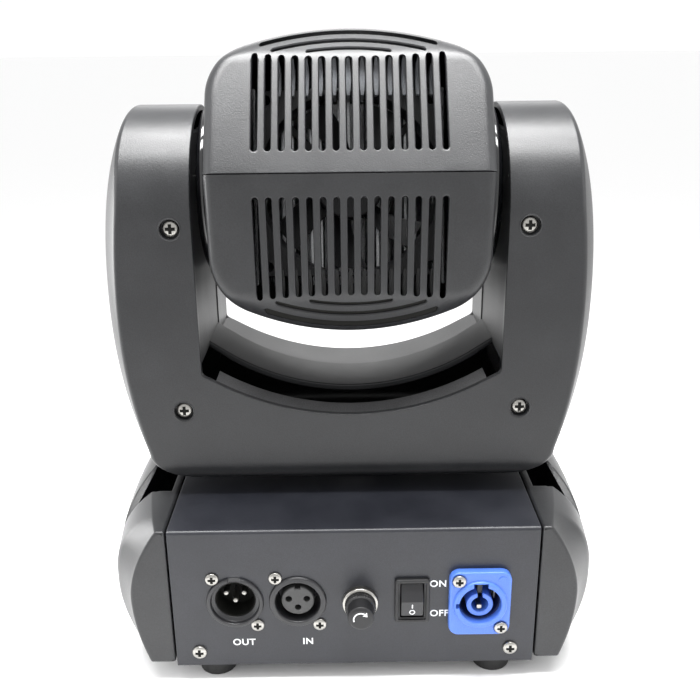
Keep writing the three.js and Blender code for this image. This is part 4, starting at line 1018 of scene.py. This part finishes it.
def make_head_shells():
    upper = head_half("upper", 0, 5.0, HEAD_FRONT - 0.3)
    combine(upper, [head_half("t", 2.5, 3.0, HEAD_FRONT + 5, -1.5)])
    combine(upper, [together("t", slot_tools()), together("t", vent_solids())])
    soften(upper, 0.4, 60, 2, lambda p: p.z < 0.3 and (p.y < -62 or abs(p.x) > 57), flatten=False)
    show(mirrored("head_lower", upper, 2), "head", SHELL, ["head_lower_shell"])
    show(upper, "head", SHELL, ["head_upper_shell"], name="head_upper")
    # Dark slabs set just inside the lower vents: painted shade.
    above = together("t", vent_solids(((0.9, -0.03), (2.3, -0.03))))
    show(mirrored("vent_shade_fill", above, 2), "head", PAINTED_SHADE)
    bpy.data.objects.remove(above)


def make_bezel():
    def ring(y, s):
        upper = head_outline(s)
        return [(x, y, z) for x, z in upper + [(x, -z) for x, z in upper[::-1]]]

    groove = ((0, 0), (4.4, 0), (4.7, 0.35), (5.3, 0.35), (5.6, 0))
    rings = [ring(HEAD_FRONT + y, s) for y, s in groove]
    rings += [ring(HEAD_FRONT + 6 + 5 * sin(t), 5.5 * (1 - cos(t))) for t in quarter(9)]
    bezel = skin("front_ring", rings)
    bore = [(0, 40), (45.9, 40), (45.9, 52.6), (47.4, 56.2), (47.4, 62), (0, 62)]
    combine(bezel, [turned("t", "y", bore, sides=128)])
    soften(bezel, 0.5, 35, 3, lambda p: p.y > 55)
    ledge = [(43.4, 46.2), (46.2, 46.2), (46.2, 47.8), (43.4, 47.8)]
    ledge = turned("l", "y", ledge, sides=128, loop=True)
    show(together("front_ring", [bezel, ledge]), "head", SHELL, ["front_bezel"])


LENS_RING = 29
LENS_ANGLES = [radians(90 + 60 * k) for k in range(6)]
LENS_PLACES = [(0.0, 0.0)] + [(LENS_RING * cos(t), LENS_RING * sin(t)) for t in LENS_ANGLES]


def make_optics():
    profile = rounded_profile([(0, 50), (45.6, 50), (45.6, 52), (0, 52)], 0.5)
    mask = turned("lens_plate", "y", profile, sides=128)
    combine(mask, [together("t", rods(LENS_PLACES, 13.2, 48, 54, 64))])
    soften(mask, 0.4, 50, 3, lambda p: hypot(p.x, p.z) < 44)
    show(mask, "head", MATTE, ["lens_mask"])
    lenses, chips, cups = [], [], []
    dome = [(0, 54.3)] + [(12.4 * sin(t), 51 + 3.3 * cos(t)) for t in spread(0.12, pi / 2, 14)]
    dome += [(12.4, 49), (11.6, 48.4), (0, 48.4)]
    cup = [(3.2, 41.5), (6, 43), (9.5, 46.5), (11.2, 48.2), (12.3, 48.2), (10.4, 45.8), (6.8, 42),
           (3.2, 40.8)]
    for x, z in LENS_PLACES:
        lenses.append(turned("l", "y", dome, (x, 0, z)))
        cups.append(turned("c", "y", cup, (x, 0, z), loop=True))
        chips.append(block("q", x, z, 1.6, 1.6, (40.2, 41.9), 0.2))
    show(together("lens_domes", lenses), "head", LENS, ["lens_array"])
    show(together("reflectors", cups), "head", ALU)
    show(together("led_chips", chips), "head", CHIP)


def make_fan():
    frame_body = slab("fan_body", "y", rounded_box(0, 0, 80, 80, 6), -20, -5, 0.6, 0.6, 3)
    profile = [(0, -22), (40.5, -22), (39, -19), (38, -16), (38, -9), (39, -6), (40.5, -3), (0, -3)]
    tunnel = turned("t", "y", profile, sides=96)
    corners = [(x, z) for x in (-35.7, 35.7) for z in (-35.7, 35.7)]
    combine(frame_body, [tunnel, together("t", rods(corners, 2.2, -24, 0, 32))])
    struts = []
    for k in range(4):
        strut = box("s", (13, 39), (-7.2, -5.2), (-1.6, 1.6), 0.4)
        strut.data.transform(Matrix.Rotation(radians(45 + 90 * k), 4, "Y"))
        struts.append(strut)
    seat = turned("s", "y", rounded_profile([(0, -7.4), (15, -7.4), (15, -5.1), (0, -5.1)], 0.4))
    show(together("fan_body", [frame_body, seat] + struts), "head", MATTE, ["fan_frame"])
    profile = [(0, -19.2), (14.2, -19.2), (15, -18.2), (15, -8), (0, -8)]
    hub = turned("h", "y", rounded_profile(profile, 0.8))
    blades = []
    for k in range(7):
        rings = []
        for t in spread(0, 1, 12):
            radius = 14.5 + 22 * t
            lead = radians(14 * t)
            pitch = radians(52 - 22 * t)
            chord, thick = 12 + 4 * t, 0.7 - 0.25 * t
            section = []
            for c, h in [(c, 1) for c in spread(-1, 1, 8)] + [(c, -1) for c in spread(1, -1, 8)]:
                along = c * chord / 2
                bulge = 1.3 * (1 - c * c) + h * thick * sqrt(max(0.02, 1 - c * c))
                u = along * cos(pitch) - bulge * sin(pitch)
                y = -13.4 + along * sin(pitch) * 0.8 + bulge * cos(pitch)
                angle = lead + u / radius
                section.append((radius * cos(angle), y, radius * sin(angle)))
            rings.append(section)
        blade = skin("b", rings)
        blade.data.transform(Matrix.Rotation(2 * pi * k / 7, 4, "Y"))
        blades.append(blade)
    show(together("fan_wheel", [hub] + blades), "fan_rotor", MATTE, ["fan_rotor"])


def make_heatsink():
    fins = [slab("f", "y", rounded_box(x, 0, 1.5, 88, 0.5, 2), -4, 33.4, 0.3, 0, 2)
            for x in spread(-46.7, 46.7, 22)]
    plate = box("p", (-47.5, 47.5), (33, 38), (-44, 44), 0.6)
    show(together("cooling_fins", fins + [plate]), "head", ALU, ["heatsink"])
    # The upper fins are pale grey and the lower ones dark grey: painted light above, painted shade below.
    for side, name, look in ((1, "upper_fins", LIT_FIN), (-1, "lower_fins", GREY)):
        leaves = []
        for i in range(2, SLOT_COUNT - 1):
            x = slot_x(i) * 1.115
            top = min(54.5, HEAD_TOP - ARCH + sqrt(ARCH ** 2 - x * x) - 6)
            edge = []
            for k, z in enumerate(spread(37, top, 14)):
                edge.append((0.12 + sin(pi * (0.12 + 0.88 * k / 14)) ** 0.8, side * z))
            outline = [(x - w, z) for w, z in edge] + [(x + w, z) for w, z in edge[::-1]]
            leaves.append(slab("v", "y", outline, -23, -8))
        show(together(name, leaves), "head", look)


def make_hubs():
    for name, sign, tip in (("right", 1, 92.2), ("left", -1, 76.0)):
        profile = [(0, 47.8), (19, 47.8), (19, 50.8), (11, 50.8), (11, 59.2), (34.6, 59.2),
                   (36.4, 59.8), (37.0, 61.0), (36.9, 62.4), (36.0, 63.6), (34.4, 64.3), (6, 64.4),
                   (6, tip), (0, tip)]
        profile = [(r, sign * w) for r, w in rounded_profile(profile, 0.7)]
        hub = turned(name + "_hub", "x", profile, sides=128)
        show(hub, "head", GLOSS, [f"tilt_hub_{name}"])


make_yoke_covers()
make_yoke_band()
make_head_shells()
make_bezel()
make_optics()
make_fan()
make_heatsink()
make_hubs()

# ---- carried-over CAD nodes ----

def finish_cad_nodes():
    slots = {part["node"]: part["material_slot"] for part in frame["record"]["subparts"]}
    for name, node in frame["nodes"].items():
        finish = FINISHES[slots.get(name, "black_plastic")]
        if node.material_slots:
            for place in node.material_slots:
                place.material = finish
        else:
            node.data.materials.append(finish)


finish_cad_nodes()

# ---- studio ----


def make_floor():
    size = 40.0
    corners = [(-size, -size, 0), (size, -size, 0), (size, size, 0), (-size, size, 0)]
    data = bpy.data.meshes.new("floor")
    data.from_pydata(corners, [], [(0, 1, 2, 3)])
    paper = material("floor_paper", (0.95, 0.95, 0.95), 0.8, mottle=0.002, specular=0.1)
    data.materials.append(paper)
    add("floor", data)


def area_light(name, place, target, size, power, spread_angle=180):
    """A lamp at a place in metres that looks at a target and that the camera doesn't see."""
    lamp = bpy.data.lights.new(name, "AREA")
    lamp.shape = "RECTANGLE"
    lamp.size, lamp.size_y = size
    lamp.energy = power
    lamp.spread = radians(spread_angle)
    holder = add(name, lamp)
    holder.location = place
    holder.rotation_euler = (Vector(target) - Vector(place)).to_track_quat("-Z", "Y").to_euler()
    holder.visible_camera = False


def make_lights():
    world = bpy.data.worlds.new("studio")
    bpy.context.scene.world = world
    world.use_nodes = True
    sky = world.node_tree.nodes["Background"]
    sky.inputs["Color"].default_value = (1, 1, 1, 1)
    sky.inputs["Strength"].default_value = 1.02
    area_light("arm_strip", (0, -0.16, 0.66), (0, -0.01, 0.22), (0.6, 0.10), 1.7, 100)
    area_light("top_strip", (0, 0.01, 0.66), (0, -0.02, 0.24), (0.5, 0.12), 1.8, 100)
    area_light("back_rim", (0, 1.3, 0.75), (0, 0, 0.22), (1.0, 0.35), 0.3, 60)
    area_light("left_soft", (-1.0, -0.25, 0.55), (0, 0, 0.12), (0.7, 0.8), 3)
    area_light("left_low", (-0.6, 0.18, 0.14), (-0.08, 0, 0.12), (0.4, 0.24), 0.6, 90)
    area_light("right_soft", (1.0, -0.25, 0.55), (0, 0, 0.12), (0.7, 0.8), 2)


def make_camera():
    """A camera behind the light, a little above it, as the object is usually shown."""
    pitch, roll, yaw = radians(19.40), radians(0.58), radians(0.43)
    forward = Vector((sin(yaw) * cos(pitch), cos(yaw) * cos(pitch), -sin(pitch)))
    right = forward.cross(Vector((0, 0, 1))).normalized()
    up = right.cross(forward)
    c, s = cos(roll), sin(roll)
    right, up = right * c - up * s, right * s + up * c
    place = Matrix((right, up, -forward)).transposed().to_4x4()
    place.translation = Vector((-3.3, -395.2, 271.6)) * MM
    data = bpy.data.cameras.new("camera")
    data.lens = 44.15
    data.sensor_width = 36
    camera = add("camera", data)
    camera.matrix_world = place
    bpy.context.scene.camera = camera


make_floor()
make_lights()
make_camera()
bpy.context.scene.view_settings.view_transform = "Standard"
